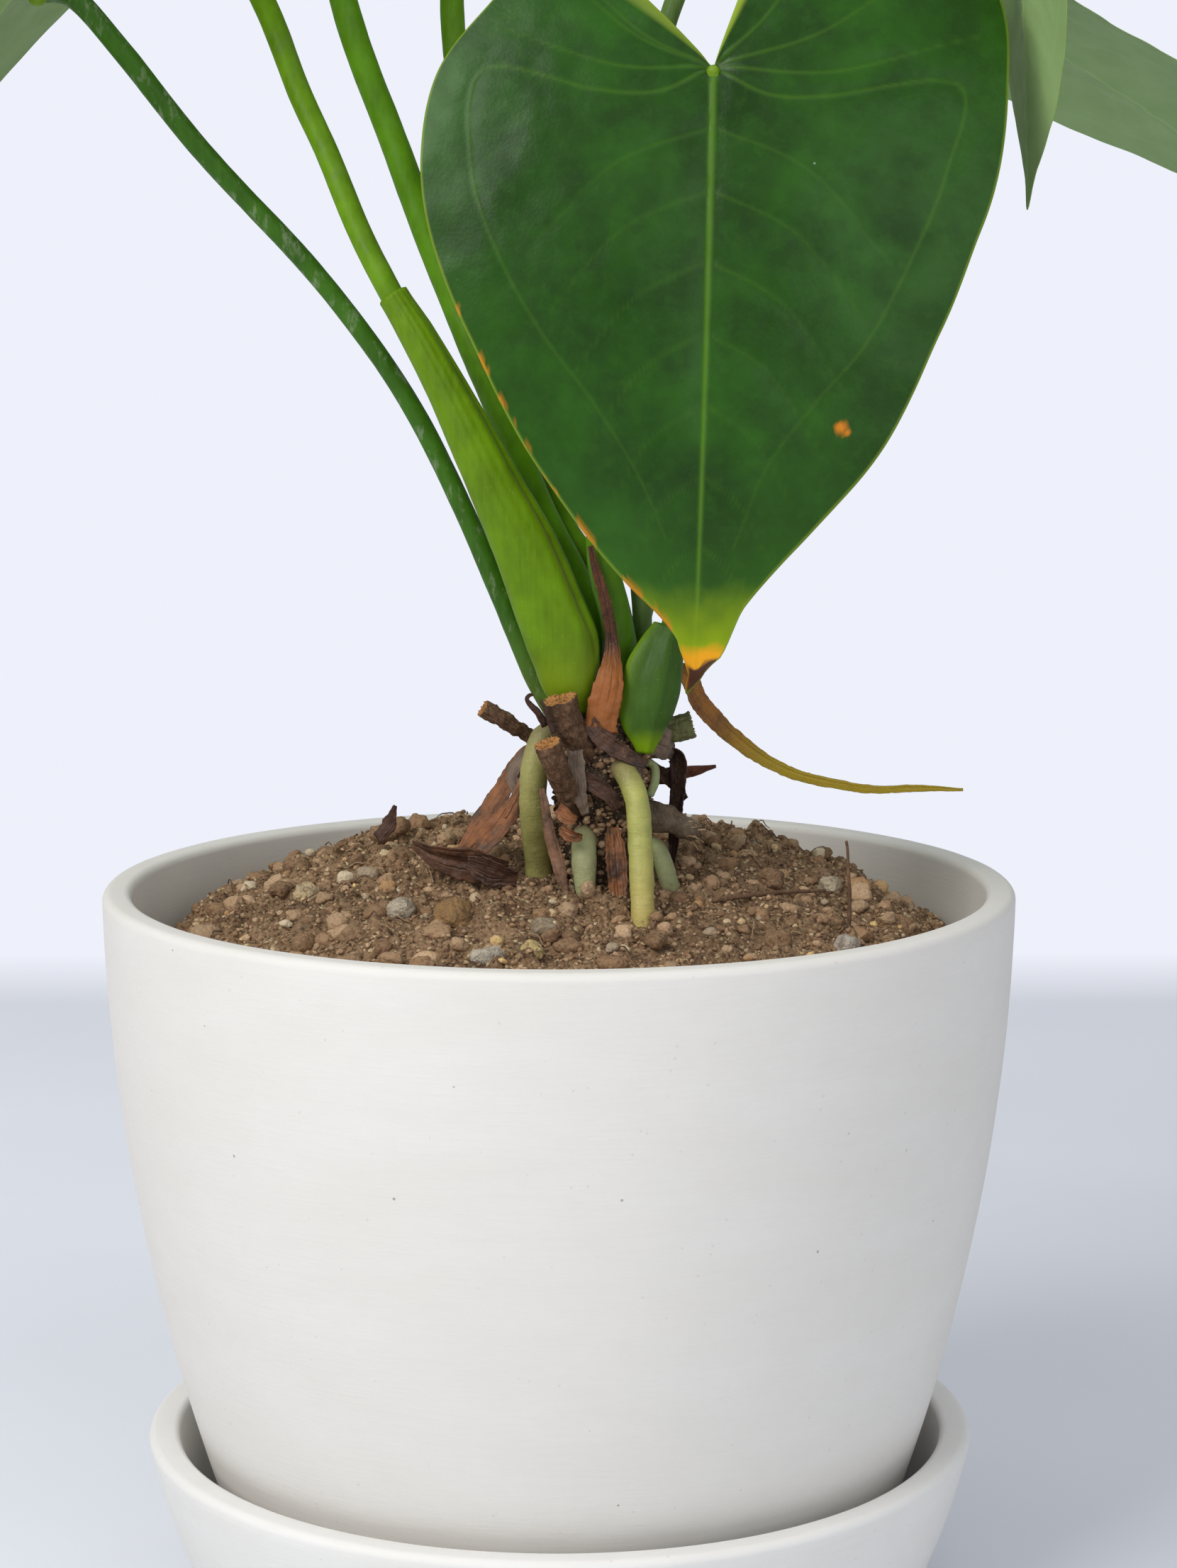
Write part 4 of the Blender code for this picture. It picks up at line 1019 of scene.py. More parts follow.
def outline_curve(name):
    left, right = OUTLINES.get(name, (HEART, HEART))
    pairs = [(-angle, share) for angle, share in reversed(left[1:])] + list(right)
    return np.array(pairs, float)


def monotone(x_known, y_known, x):
    """Smooth interpolation that does not overshoot."""
    gaps = np.diff(x_known)
    slopes = np.diff(y_known) / gaps
    tangents = np.zeros_like(y_known)
    inner = slopes[:-1] * slopes[1:] > 0
    mean = 2 * slopes[:-1] * slopes[1:] / np.where(inner, slopes[:-1] + slopes[1:], 1)
    tangents[1:-1] = np.where(inner, mean, 0)
    tangents[0], tangents[-1] = slopes[0], slopes[-1]
    at = np.clip(np.searchsorted(x_known, x) - 1, 0, len(gaps) - 1)
    t = (x - x_known[at]) / gaps[at]
    return ((2 * t**3 - 3 * t**2 + 1) * y_known[at] + (t**3 - 2 * t**2 + t) * gaps[at] * tangents[at]
            + (-2 * t**3 + 3 * t**2) * y_known[at + 1] + (t**3 - t**2) * gaps[at] * tangents[at + 1])


def leaf_axes(name):
    attach, along, facing = (Vector(value) for value in LEAVES[name][:3])
    along.normalize()
    facing = (facing - along * facing.dot(along)).normalized()
    right = facing.cross(along)
    return np.array(attach), np.array(along), np.array(facing), np.array(right)


def leaf_shape(name, forward, sideways, lift):
    """Flat points of the blade taken onto its bent, folded and curled shape, raised by lift."""
    attach, along, facing, right = leaf_axes(name)
    length, bend, fold, curl = LEAVES[name][3:]
    turn = math.radians(bend) / length
    reach, sink = np.sin(turn * forward) / turn, (1 - np.cos(turn * forward)) / turn
    normal = facing * np.cos(turn * forward)[:, None] + along * np.sin(turn * forward)[:, None]
    soft = np.sqrt(sideways**2 + 4) - 2
    raised = fold * soft - curl * sideways**2 + lift
    return (attach + along * reach[:, None] - facing * sink[:, None] + right * sideways[:, None]
            + normal * raised[:, None])


def vein_lines(length, outline):
    """Veins as (points, width, strength), in flat leaf places: forward from the sinus, sideways."""
    reach = {side: lambda angle,
             s=side: float(monotone(outline[:, 0], outline[:, 1], np.array([s * angle]))[0]) * length
             for side in (-1, 1)}
    lines = [([(0, 0), (length * 0.97, 0)], 0.62, 0.9)]
    for side in (-1, 1):
        last = outline[-1, 0] if side > 0 else -outline[0, 0]
        # collective vein, near the margin from lobe to tip
        ring = [(min(a, last - 6)) for a in (108, 88, 66, 46, 30, 18, 9, 4)]
        shares = (0.80, 0.83, 0.83, 0.82, 0.80, 0.78, 0.80, 0.86)
        collective = [(0, 0), (6, side * 11), (6, side * 24)]
        collective += [(reach[side](a) * s * math.cos(math.radians(a)),
                        side * reach[side](a) * s * math.sin(math.radians(a)))
                       for a, s in zip(ring[1:], shares[1:])]
        lines.append((collective, 0.36, 0.34))
        # basal veins, which sweep out and up from the sinus
        for angle in (min(150, last - 10), min(122, last - 4), 100):
            end = reach[side](min(angle, last - 2)) * 0.90
            middle = math.radians(angle - 12)
            lines.append(([(0, 0), (0.45 * end * math.cos(middle), side * 0.45 * end * math.sin(middle)),
                           (end * math.cos(math.radians(angle)), side * end * math.sin(math.radians(angle)))],
                           0.36, 0.34))
        # laterals from the midrib, curving towards the tip
        for start in (0.10, 0.20, 0.31, 0.42, 0.53, 0.64, 0.75):
            base = start * length
            angle = math.radians(62 - 26 * start)
            out = 0.36 * length * (1 - start) ** 0.8
            middle = (base + 0.5 * out * math.cos(angle + 0.12), side * 0.5 * out * math.sin(angle + 0.12))
            tip = (base + out * math.cos(angle - 0.10) * 1.05, side * out * math.sin(angle - 0.10) * 1.05)
            lines.append(([(base, 0), middle, tip], 0.30, 0.20))
    return lines


def distance_to(points, line):
    """Distance from flat points to a smooth line, and how far along it the nearest place lies."""
    dense = np.array([tuple(p)[:2] for p in smooth_route([(*p, 0) for p in line], 10)])
    best = np.full(len(points), 1e9)
    where = np.zeros(len(points))
    for index in range(len(dense) - 1):
        start, way = dense[index], dense[index + 1] - dense[index]
        share = np.clip(((points - start) @ way) / max(way @ way, 1e-9), 0, 1)
        gap = np.linalg.norm(points - start - share[:, None] * way, axis=1)
        closer = gap < best
        best = np.where(closer, gap, best)
        where = np.where(closer, (index + share) / (len(dense) - 1), where)
    return best, where


def leaf_net(length, outline, spokes, rings):
    """A fan of points over the flat blade, closer together at the tip and the margin."""
    angles = np.linspace(outline[0, 0], outline[-1, 0], spokes)
    pull = np.sign(angles) * (np.abs(angles) / 180) ** 1.35 * 180
    angles = np.clip(pull / (np.abs(pull).max()) * np.abs(angles).max(), outline[0, 0], outline[-1, 0])
    angles[0], angles[-1] = outline[0, 0], outline[-1, 0]
    reach = monotone(outline[:, 0], outline[:, 1], angles) * length
    shares = np.linspace(0, 1, rings + 1)[1:]
    shares = np.concatenate([shares[:-1] * 0.985, [0.990, 0.9945, 1.0]])
    away = np.radians(angles)[None, :]
    radius = shares[:, None] * reach[None, :]
    return angles, shares, (radius * np.cos(away)).ravel(), (radius * np.sin(away)).ravel()


def leaf_veins(flat, length, outline):
    """How much of a vein each flat point is, and how far the surface rises or sinks there."""
    vein, relief = np.zeros(len(flat)), np.zeros(len(flat))
    for index, (line, width, strength) in enumerate(vein_lines(length, outline)):
        gap, where = distance_to(flat, line)
        taper = 1 - 0.65 * where
        size = width * taper + 0.12
        crest = ridge(gap, 0, size)
        vein = np.maximum(vein, crest * strength * (1 if index == 0 else 1 - 0.5 * where))
        rise, dip = (0.22, 0.30) if index == 0 else (0.10, 0.20)
        relief += (rise * crest - dip * ridge(gap, 0, size * 4.5)) * taper
    return vein, relief


def build_leaf(name, material, spokes, rings, seed, spots=(), waviness=0.5, margin_from=0.9905):
    """A blade with a raised midrib and side veins, a thin margin, and a tip that has yellowed and dried."""
    length = LEAVES[name][3]
    outline = outline_curve(name)
    angles, shares, forward, sideways = leaf_net(length, outline, spokes, rings)
    rows = len(shares)
    flat = np.stack([forward, sideways], axis=1)
    vein, relief = leaf_veins(flat, length, outline)
    edge_share = np.repeat(shares, len(angles))
    at_angle = np.tile(angles, rows)
    in_plane = np.stack([forward, sideways, np.zeros(len(flat))], axis=1)
    wave = layered(in_plane, 30, 3, seed) * waviness * smooth_step(0.1, 0.9, edge_share)
    wave += layered(in_plane, 9, 3, seed + 3) * 0.22
    margin = smooth_step(margin_from, 1.0, edge_share) * 0.75
    margin = np.where(np.abs(at_angle) > 118, smooth_step(0.985, 1.0, edge_share) * 0.5, margin)
    sinus_edge = smooth_step(8, 2.0, np.minimum(angles.max() - at_angle, at_angle - angles.min()))
    sinus_edge *= smooth_step(0.0, 0.02, edge_share)
    margin = np.maximum(margin, sinus_edge * 0.85)
    from_tip = length - forward
    ragged = from_tip + layered(in_plane, 3.5, 4, 61) * 2.2 - 0.10 * np.abs(sideways)
    tip = np.clip(1 - ragged / 24.0, 0, 1) * (1.0 if name == "front" else 0.3)
    young = smooth_step(0.60, 1.0, forward / length) * 0.50
    young = young * (0.35 + 0.65 * smooth_step(0.2, 1.0, edge_share))
    young = young + 0.12 * smooth_step(0.7, 1.0, edge_share)
    spot = np.zeros(len(flat))
    for at_forward, at_side, size in spots:
        gap = np.hypot(forward - at_forward, sideways - at_side)
        gap = gap * (1 + 0.35 * layered(in_plane, 1.4, 2, 77))
        spot = np.maximum(spot, smooth_step(size, size * 0.35, gap))
    if name == "front":
        nibble = smooth_step(0.982, 0.998, edge_share) * (sideways < 0) * smooth_step(40, 55, forward)
        nibble *= layered(in_plane, 3.0, 3, 55) > 0.10
        spot = np.maximum(spot, nibble * 0.75)
    thick = BLADE_THICKNESS * (0.42 - 0.20 * smooth_step(0.9, 1.0, edge_share))
    thick = thick + 0.35 * vein * (edge_share < 0.97)
    top_lift = relief + wave + BLADE_THICKNESS * 0.2
    if name == "front":
        pinch = smooth_step(length - 9.5, length - 5.5, forward)
        sideways = sideways * (1 - 0.42 * pinch) - 1.4 * smooth_step(length - 6, length, forward)
        top_lift = top_lift - 1.6 * smooth_step(length - 7, length, forward)
    top = leaf_shape(name, forward, sideways, top_lift)
    low = leaf_shape(name, forward, sideways, top_lift - thick)
    centre_top = leaf_shape(name, np.zeros(1), np.zeros(1), np.array([0.1]))
    centre_low = leaf_shape(name, np.zeros(1), np.zeros(1), np.array([-0.3]))
    points = np.vstack([top, low, centre_top, centre_low])
    count, columns = len(flat), len(angles)
    faces = [flipped(face) for face in sheet_faces(rows, columns, False)]
    upper, lower = 2 * count, 2 * count + 1
    for column in range(columns - 1):
        faces += [(upper, column, column + 1), (lower, count + column + 1, count + column)]
    faces += [(upper, lower, count, 0), (columns - 1, count + columns - 1, lower, upper)]

    def both(values, top_centre=0.0):
        return np.concatenate([values, values, [top_centre, top_centre]])

    under = np.concatenate([np.zeros(count), np.ones(count), [0, 1]])
    shares_out = {"vein": both(vein, 1.0), "margin": both(margin), "tip": both(tip), "young": both(young),
                  "spot": both(spot), "underside": under}
    return piece("blade_" + name, points, faces, material, ["leaf_" + name], shares=shares_out)


# ---------------------------------------------------------------- stems

def build_petioles():
    tones = {
        "left": (0.040, 0.130, 0.004), "upper_left": (0.125, 0.265, 0.002), "top": (0.095, 0.245, 0.0005),
        "back": (0.100, 0.235, 0.002), "front": (0.095, 0.240, 0.001), "upper_right": (0.13, 0.22, 0.05),
        "right": (0.08, 0.20, 0.01), "right_hanging": (0.08, 0.20, 0.01),
    }
    for index, (name, (route, radii)) in enumerate(PETIOLES.items()):
        attach, along, facing, _ = leaf_axes(name)
        clear = radii[-1] + BLADE_THICKNESS / 2 + GAP
        end = attach + along * radii[-1] - facing * clear
        line = even_route((*route, tuple(end)), 1.2)
        count = len(line)
        kinks = np.stack([layered(line + [0, 0, index * 90], 26, 2, index), layered(line, 22, 2, index + 40),
                          np.zeros(count)], axis=1)
        line = line + kinks * 0.25
        sizes = spread_array(radii, count) * (1 + 0.035 * layered(line, 12, 2, index + 60))
        sizes[-8:] *= np.linspace(1.0, 1.16, 8)
        points, faces, _, _ = tube_mesh(line, sizes, 36, oval=0.035, wobble=0.05, wobble_size=3, seed=index,
                                        round_start=True, round_end=True)
        scurf = {"left": 0.55, "upper_right": 0.25}.get(name, 0.10)
        piece("stalk_" + name, points, faces, petiole_look("petiole_" + name, tones[name], scurf),
              ["petiole_" + name])
        # swollen joint right under the blade
        joint = np.array([end + (attach - end) * t - facing * 0.1 for t in np.linspace(-0.4, 0.62, 6)])
        swollen = radii[-1] * np.array([0.9, 1.02, 1.05, 1.0, 0.85, 0.6])
        points, faces, _, _ = tube_mesh(joint, swollen, wobble=0.06, seed=index + 9,
                                        round_start=True, round_end=True)
        piece("joint_" + name, points, faces, petiole_look("joint_" + name + "_tone", (0.15, 0.26, 0.01)), ())


def softened(values, reach):
    """Each value averaged with this many on either side."""
    return np.convolve(np.pad(values, reach, "edge"), np.ones(2 * reach + 1) / (2 * reach + 1), "valid")


def section_line(sections, step):
    """Even centres through the sections, and half widths and depths that change softly."""
    knots, *sizes = zip(*sections)
    centres = even_route(knots, step)
    _, along = measured(knots)
    at = np.linspace(0, along[-1], len(centres))
    widths, depths = (softened(np.interp(at, along[::SPAN_STEPS], size), 3) for size in sizes)
    return centres, widths, depths


def loft_fine(sections, sides, step, shape=None):
    """An oval body through the sections, as arrays: points by row and side, outward ways, share and angle."""
    centres, widths, depths = section_line(sections, step)
    way = np.gradient(centres, axis=0)
    back = unit(np.cross(way, [1.0, 0, 0]))
    side = unit(np.cross(back, way))
    angles = np.linspace(0, 2 * math.pi, sides, endpoint=False)
    share = np.repeat(np.linspace(0, 1, len(centres))[:, None], sides, axis=1)
    turn = np.repeat(angles[None, :], len(centres), axis=0)
    scale = shape(share, turn) if shape else 1.0
    outward = (side[:, None, :] * np.cos(turn)[..., None] * widths[:, None, None]
               + back[:, None, :] * np.sin(turn)[..., None] * depths[:, None, None])
    points = centres[:, None, :] + outward * np.asarray(scale)[..., None]
    return points, unit(outward), share, turn


def closed_loft(points):
    """Faces of a closed body from rows of points, with its two end points added."""
    rows, sides = points.shape[:2]
    flat = points.reshape(-1, 3)
    faces = grid_faces(rows, sides) + end_fans(rows, sides, len(flat), len(flat) + 1)
    return np.vstack([flat, points[0].mean(axis=0), points[-1].mean(axis=0)]), faces


def with_ends(values):
    flat = values.ravel()
    return np.concatenate([flat, [values[0].mean(), values[-1].mean()]])


def build_sheaths():
    def left_shape(share, turn):
        overlap = 0.10 * ridge(turn, 5.35, 0.30) - 0.13 * ridge(turn, 5.72, 0.16)
        return 1 + overlap * smooth_step(0.08, 0.25, share) * smooth_step(1.0, 0.75, share)

    points, normal, share, turn = loft_fine(SHEATHS["sheath_left"], 72, 0.8, left_shape)
    flat = points.reshape(-1, 3)
    ribs = 0.07 * np.sin(turn * 17) * smooth_step(0.0, 0.2, share)
    points = points + normal * (ribs + layered(flat, 8, 3, 5).reshape(ribs.shape) * 0.18)[..., None]
    foot = smooth_step(0.20, 0.04, share)
    tan = ridge(turn, 5.62, 0.10) * smooth_step(0.12, 0.3, share) * smooth_step(0.62, 0.45, share)
    all_points, faces = closed_loft(points)
    piece("wrapped_sheath", all_points, faces,
          sheath_look("sheath_left_green", (0.120, 0.232, 0.001), (0.23, 0.29, 0.01), True),
          ["sheath_left"], shares={"edge": with_ends(foot * 0.6), "tan": with_ends(tan)})

    def right_shape(share, turn):
        return (1 + 0.10 * ridge(turn, 3.4, 0.35) - 0.16 * ridge(turn, 4.2, 0.35)
                + 0.16 * ridge(turn, 5.0, 0.22))

    points, normal, share, turn = loft_fine(SHEATHS["sheath_right"], 72, 0.6, right_shape)
    flat = points.reshape(-1, 3)
    points = points + normal * (layered(flat, 6, 3, 15).reshape(share.shape) * 0.22)[..., None]
    left_margin = ridge(turn, 3.3, 0.45)
    edge = np.maximum(left_margin * 0.85, smooth_step(0.22, 0.05, share))
    all_points, faces = closed_loft(points)
    piece("open_sheath", all_points, faces,
          sheath_look("sheath_right_green", (0.040, 0.098, 0.008), (0.17, 0.30, 0.005)),
          ["sheath_right"], shares={"edge": with_ends(edge)})


def build_crown():
    """The creeping stem, ringed with old scars and crusted with soil."""
    sections = [(centre, radius, radius) for centre, radius in CROWN]
    points, normal, _, turn = loft_fine(sections, 120, 0.55)
    flat = points.reshape(-1, 3)
    z = points[..., 2]
    scars = 0.30 * np.sin(z * 1.35 + 1.6 * np.sin(turn * 1.0 + z * 0.2)) ** 3
    lumps = (layered(flat, 6.5, 4, 2) * 1.5 + layered(flat, 1.6, 3, 12) * 0.55).reshape(z.shape)
    points = points + normal * (scars + lumps)[..., None]
    all_points, faces = closed_loft(points)
    piece("creeping_stem", all_points, faces,
          bark_look("crown_brown", (0.045, 0.030, 0.020), (0.115, 0.078, 0.050), (0.230, 0.165, 0.110)),
          ["crown"])
    rng = random.Random(88)
    lumps = []
    for _ in range(3800):
        z = rng.uniform(163, 200)
        a = rng.uniform(0, 2 * math.pi)
        radius = float(np.interp(z, [166, 189, 196, 201], [9.2, 9.9, 9.4, 7.6])) + rng.uniform(0.0, 0.9)
        size = 0.18 + 0.75 * rng.random() ** 4.0
        points, faces = lump(rng, size, 0.85, 0.40, 2 if size > 0.5 else 1)
        tint = np.array(rng.choice(CRUMB_TINTS)) * rng.uniform(0.5, 1.2)
        x, y = CROWN_PLACE[0] + radius * math.cos(a), CROWN_PLACE[1] + radius * math.sin(a)
        lumps.append((points + [x, y, z], faces, tint))
    gather("crown_crumbs", lumps, crumb_look("crown_crumb"))


def build_roots():
    tones = {
        "aerial_root_left": ((0.36, 0.34, 0.105), 0.166), "aerial_root_middle": ((0.33, 0.34, 0.16), 0.167),
        "aerial_root_front": ((0.41, 0.41, 0.105), 0.160), "aerial_root_right": ((0.29, 0.31, 0.14), 0.166),
        "aerial_root_thin": ((0.33, 0.38, 0.17), 0.16),
    }
    for index, (name, (route, radii)) in enumerate(ROOTS.items()):
        knotted = name == "aerial_root_knotted"
        line = even_route(route, 0.5)
        knots = 0.30 if knotted else 0.12
        sizes = spread_array(radii, len(line)) * (1 + knots * layered(line, 5, 2, index + 3) * 0.6)
        points, faces, share, _ = tube_mesh(line, sizes, 40, wobble=0.8 if knotted else 0.16, wobble_size=2.4,
                                            seed=index + 70, round_start=True, round_end=True)
        if knotted:
            material = bark_look("root_knotted_brown", (0.07, 0.05, 0.032), (0.17, 0.125, 0.085),
                                 (0.30, 0.23, 0.16))
        else:
            tone, top = tones[name]
            material = root_look(name + "_skin", tone, top,
                                 ROOT_FOOT if name == "aerial_root_front" else None)
        piece(name + "_skin", points, faces, material, [name], shares={"along": share})


CUT_RINGS = ((0.93, -0.10), (0.80, 0.10), (0.6, 0.28), (0.4, 0.34),
             (0.2, 0.30))  # share of the rim's radius, depth
BROWN_STUB = ((0.045, 0.022, 0.012), (0.165, 0.085, 0.045), (0.330, 0.205, 0.125), (0.50, 0.235, 0.075))
GREEN_STUB = ((0.10, 0.10, 0.04), (0.20, 0.21, 0.08), (0.30, 0.31, 0.14), (0.26, 0.26, 0.10))


def build_stubs():
    """Cut petiole feet: ridged, with a dished and pitted cut face."""
    sides = 84
    for index, (name, (route, radii)) in enumerate(STUBS.items()):
        double, green = name == "cut_stub_double", name == "cut_stub_right"
        line = even_route(route, 0.35)
        sizes = spread_array(radii, len(line))
        points, faces, share, around = tube_mesh(line, sizes, sides, oval=0.16 if double else 0.05,
                                                 round_start=True, end_dip=0.25)
        rounding = len(points) // sides - len(line)
        centre_line = np.repeat(np.vstack([np.repeat(line[:1], rounding, axis=0), line]), sides, axis=0)
        used = len(centre_line)
        body = points[:used]
        outward = body - centre_line
        outward = outward / np.maximum(np.linalg.norm(outward, axis=1)[:, None], 1e-6)
        turn = around[:used] * 2 * math.pi
        ridges = 0.30 * np.abs(np.sin(turn * 5.5 + layered(body, 5, 2, 9) * 1.2)) ** 0.6
        ridges = ridges + layered(body, 1.5, 4, index + 90, 0.65) * 0.62
        if double:
            groove = np.minimum(turn % math.pi, math.pi - turn % math.pi) - math.pi / 2
            ridges = ridges - 0.75 * ridge(groove, 0, 0.30) * smooth_step(0.45, 0.9, share[:used])
        points[:used] = body + outward * (ridges - 0.15)[:, None]
        # the cut face, in rings inside its rim
        rng = random.Random(index)
        way = frames_along(line)[0][-1]
        rim, middle = points[used - sides: used], len(points) - 1
        faces = [face for face in faces if middle not in face]
        rings, starts = [], [used - sides]
        for ring_share, dip in CUT_RINGS:
            uneven = np.array([rng.uniform(-0.30, 0.30) for _ in range(sides)])
            rings.append(line[-1] + (rim - line[-1]) * ring_share - way * dip + way * uneven[:, None])
            starts.append(len(points) + len(rings) * sides - sides)
        for side in range(sides):
            after = (side + 1) % sides
            faces += [(a + side, a + after, b + after, b + side) for a, b in zip(starts, starts[1:])]
            faces.append((middle, starts[-1] + side, starts[-1] + after))
        cut = np.concatenate([np.zeros(middle), np.ones(1 + len(rings) * sides)])
        material = bark_look(name + "_tone", *(GREEN_STUB if green else BROWN_STUB))
        piece(name + "_cut", np.vstack([points, *rings]), faces, material, [name],
              shares={"cut": cut})


def dry_sheet(name, route, widths, across, cup, seed, nodes, tones, gold=None, crease=0.0, crinkle=0.42,
              tatter=0.16):
    """A dried bract: a crinkled sheet with faint veins along it, a ragged edge and maybe a golden end."""
    line = even_route(route, 0.4)
    width = spread_array(widths, len(line))
    width = softened(width, 2)
    way = np.gradient(line, axis=0)
    normal = unit(np.cross(way, across))
    side = unit(np.cross(normal, way))
    lanes = np.linspace(-0.5, 0.5, 25)
    ragged = [1 + tatter * layered(line + [seed * 20 + push, 0, 0], 1.6, 4, seed, 0.65) for push in (0, 300)]
    spans = np.where(lanes[None, :] < 0, ragged[0][:, None], ragged[1][:, None]) * width[:, None]
    base = line[:, None, :] + side[:, None, :] * (lanes[None, :, None] * spans[..., None])
    flat = base.reshape(-1, 3)
    rows, columns = base.shape[:2]
    lift = cup * 4 * lanes[None, :] ** 2 * width[:, None] - crease * ridge(lanes[None, :], 0, 0.10)
    lift = lift + layered(flat, 3.6, 3, seed + 30).reshape(rows, columns) * crinkle
    lift = lift + layered(flat, 1.0, 3, seed + 50).reshape(rows, columns) * crinkle * 0.45
    half = DRY_THICKNESS * 0.3
    upper = base + normal[:, None, :] * (lift + half)[..., None]
    lower = base + normal[:, None, :] * (lift - half)[..., None]
    total = rows * columns
    points = np.vstack([upper.reshape(-1, 3), lower.reshape(-1, 3)])
    faces = sheet_faces(rows, columns)
    along = np.repeat(np.linspace(0, 1, rows), columns)
    grain = np.stack([np.tile(lanes * 14, rows), along * 2.0, np.full(total, seed)], 1)
    veins = np.clip(layered(grain, 1.0, 3, seed + 9) * 1.6, 0, 1)
    golden = smooth_step(gold[0], gold[1], along) * gold[2] if gold else np.zeros(total)
    dark, rust, gold_tone = tones
    look = dry_look(name + "_tone", dark, rust, gold_tone, gold is not None)
    thing = piece(name, points, faces, look, nodes,
                  shares={"veins": np.tile(veins, 2), "gold": np.tile(golden, 2)})
    shape = bmesh.new()
    shape.from_mesh(thing.data)
    bmesh.ops.recalc_face_normals(shape, faces=shape.faces)
    shape.to_mesh(thing.data)
    shape.free()


DRY_TONES = {  # dark, rust, gold
    "dry_bract_upright": ((0.040, 0.014, 0.007), (0.120, 0.040, 0.014), (0.33, 0.105, 0.020)),
    "dry_bract_curling": ((0.090, 0.030, 0.008), (0.300, 0.120, 0.020), (0.42, 0.30, 0.015)),
    "dry_bract_spike": ((0.045, 0.016, 0.010), (0.170, 0.055, 0.026), (0.3, 0.2, 0.1)),
    "dry_bract_hanging": ((0.022, 0.011, 0.008), (0.070, 0.034, 0.021), (0.3, 0.2, 0.1)),
    "dry_bract_left": ((0.055, 0.022, 0.010), (0.260, 0.100, 0.036), (0.3, 0.2, 0.1)),
    "dry_leaf_curled": ((0.030, 0.014, 0.009), (0.115, 0.048, 0.023), (0.3, 0.2, 0.1)),
    "dry_strip_front": ((0.060, 0.030, 0.018), (0.200, 0.100, 0.055), (0.3, 0.2, 0.1)),
}
DRY_GOLD = {"dry_bract_upright": (0.52, 0.28, 0.95), "dry_bract_curling": (0.30, 0.55, 0.9)}
RUST, DARK, GREY = (
    ((0.060, 0.024, 0.010), (0.250, 0.095, 0.034), (0, 0, 0)),
    ((0.024, 0.012, 0.009), (0.085, 0.040, 0.024), (0, 0, 0)),
    ((0.080, 0.052, 0.036), (0.200, 0.140, 0.098), (0, 0, 0)),
)
# Scraps of old bract round the crown: route, widths, the way across, colours
SCRAPS = {
    "scrap_ledge": (((13, -19.5, 197.5), (17.5, -20.5, 196.6), (22.5, -16.5, 195), (24.6, -11.6, 192.4)),
                    (4, 7, 7, 3.5), (0.1, 0.5, -0.8), GREY),
    "scrap_slab": (((11.4, -23.5, 178), (12.0, -25.6, 172), (12.4, -27.5, 166), (12.6, -28.5, 163)),
                   (2.6, 4.4, 4.6, 3.0), (1, 0.1, 0), RUST),
    "scrap_hook_left": (((-3.0, -25.0, 200), (-4.4, -26.6, 203), (-6.8, -27.6, 206), (-5.6, -28.4, 207.4)),
                        (1.6, 1.6, 1.2, 0.6), (0.8, 0.3, -0.5), DARK),
    "scrap_hook_right": (((-1.0, -27.8, 199), (-2.4, -29.0, 203), (-4.0, -29.6, 206.4)), (1.5, 1.4, 0.6),
                         (0.9, 0.3, 0.3), DARK),
    "scrap_flake_low": (((-0.4, -28.6, 183), (1.5, -29.6, 181.4), (3.6, -29.4, 180.6)), (2.8, 3.6, 1.4),
                        (0.2, -0.2, 1), RUST),
    "scrap_flake_lower": (((0.2, -28.8, 178.6), (2.4, -30.0, 177.4), (4.8, -29.8, 177.0)), (2.2, 3.2, 1.2),
                          (0.2, -0.2, 1), RUST),
    "scrap_under_sheath": (((6.2, -24.6, 201), (9.0, -25.2, 197.6), (13.2, -25.0, 194.6),
                            (18.4, -25.2, 191.6)), (3.2, 4.2, 3.4, 1.6), (0.45, -0.1, 0.9), DARK),
    "scrap_beside_stub": (((2.6, -21.5, 198), (3.4, -24.6, 193), (4.0, -25.6, 187), (5.6, -24.8, 181)),
                          (2.4, 3.6, 3.6, 1.6), (1, 0.1, 0.2), GREY),
    "scrap_folded": (((0.6, -21.5, 190), (5.4, -24.6, 188.8), (10.2, -25.0, 185.6), (12.6, -24.2, 182)),
                     (1.6, 3.6, 4.0, 1.6), (0.3, -0.2, 1), DARK),
    "scrap_left_back": (((-0.4, -8.8, 196), (-6.6, -9.4, 192), (-9.6, -10.0, 187), (-8.6, -11.0, 182)),
                        (3.0, 5.0, 5.0, 2.0), (0.6, -0.7, 0.3), GREY),
    "scrap_left_fold": (((-4.8, -11.4, 188), (-9.6, -13.4, 181), (-14.4, -15.4, 175), (-18.6, -17, 170)),
                        (2.0, 4.6, 5.4, 2.4), (0.6, -0.5, -0.4), RUST),
    "scrap_left_thin": (((-2.4, -13.4, 194), (-7.6, -15.4, 187), (-11.8, -17.4, 179)), (1.6, 2.6, 0.8),
                        (0.7, -0.6, -0.2), RUST),
    "scrap_right_back": (((19, -8, 190), (24, -9, 186.4), (27.5, -10, 182)), (2.4, 4.0, 1.4),
                         (0.5, -0.6, 0.6), DARK),
    "scrap_upright_dark": (((10.8, -16.5, 222), (10.2, -18.6, 231), (11.0, -19.2, 240)), (2.2, 2.4, 0.6),
                           (1, 0.2, 0), DARK),
    "scrap_far_left": (((-40.4, 6, 170.6), (-38.0, 5, 174), (-36.4, 4, 178.4)), (3.2, 3.6, 0.6),
                       (0.6, -0.4, -0.4), DARK),
    "scrap_bow_wing": (((-19.6, -22.6, 170.6), (-15.0, -24.6, 168.8), (-9.0, -25.2, 167.4)), (3.0, 8.0, 4.2),
                       (0.3, -0.5, 0.8), DARK),
}


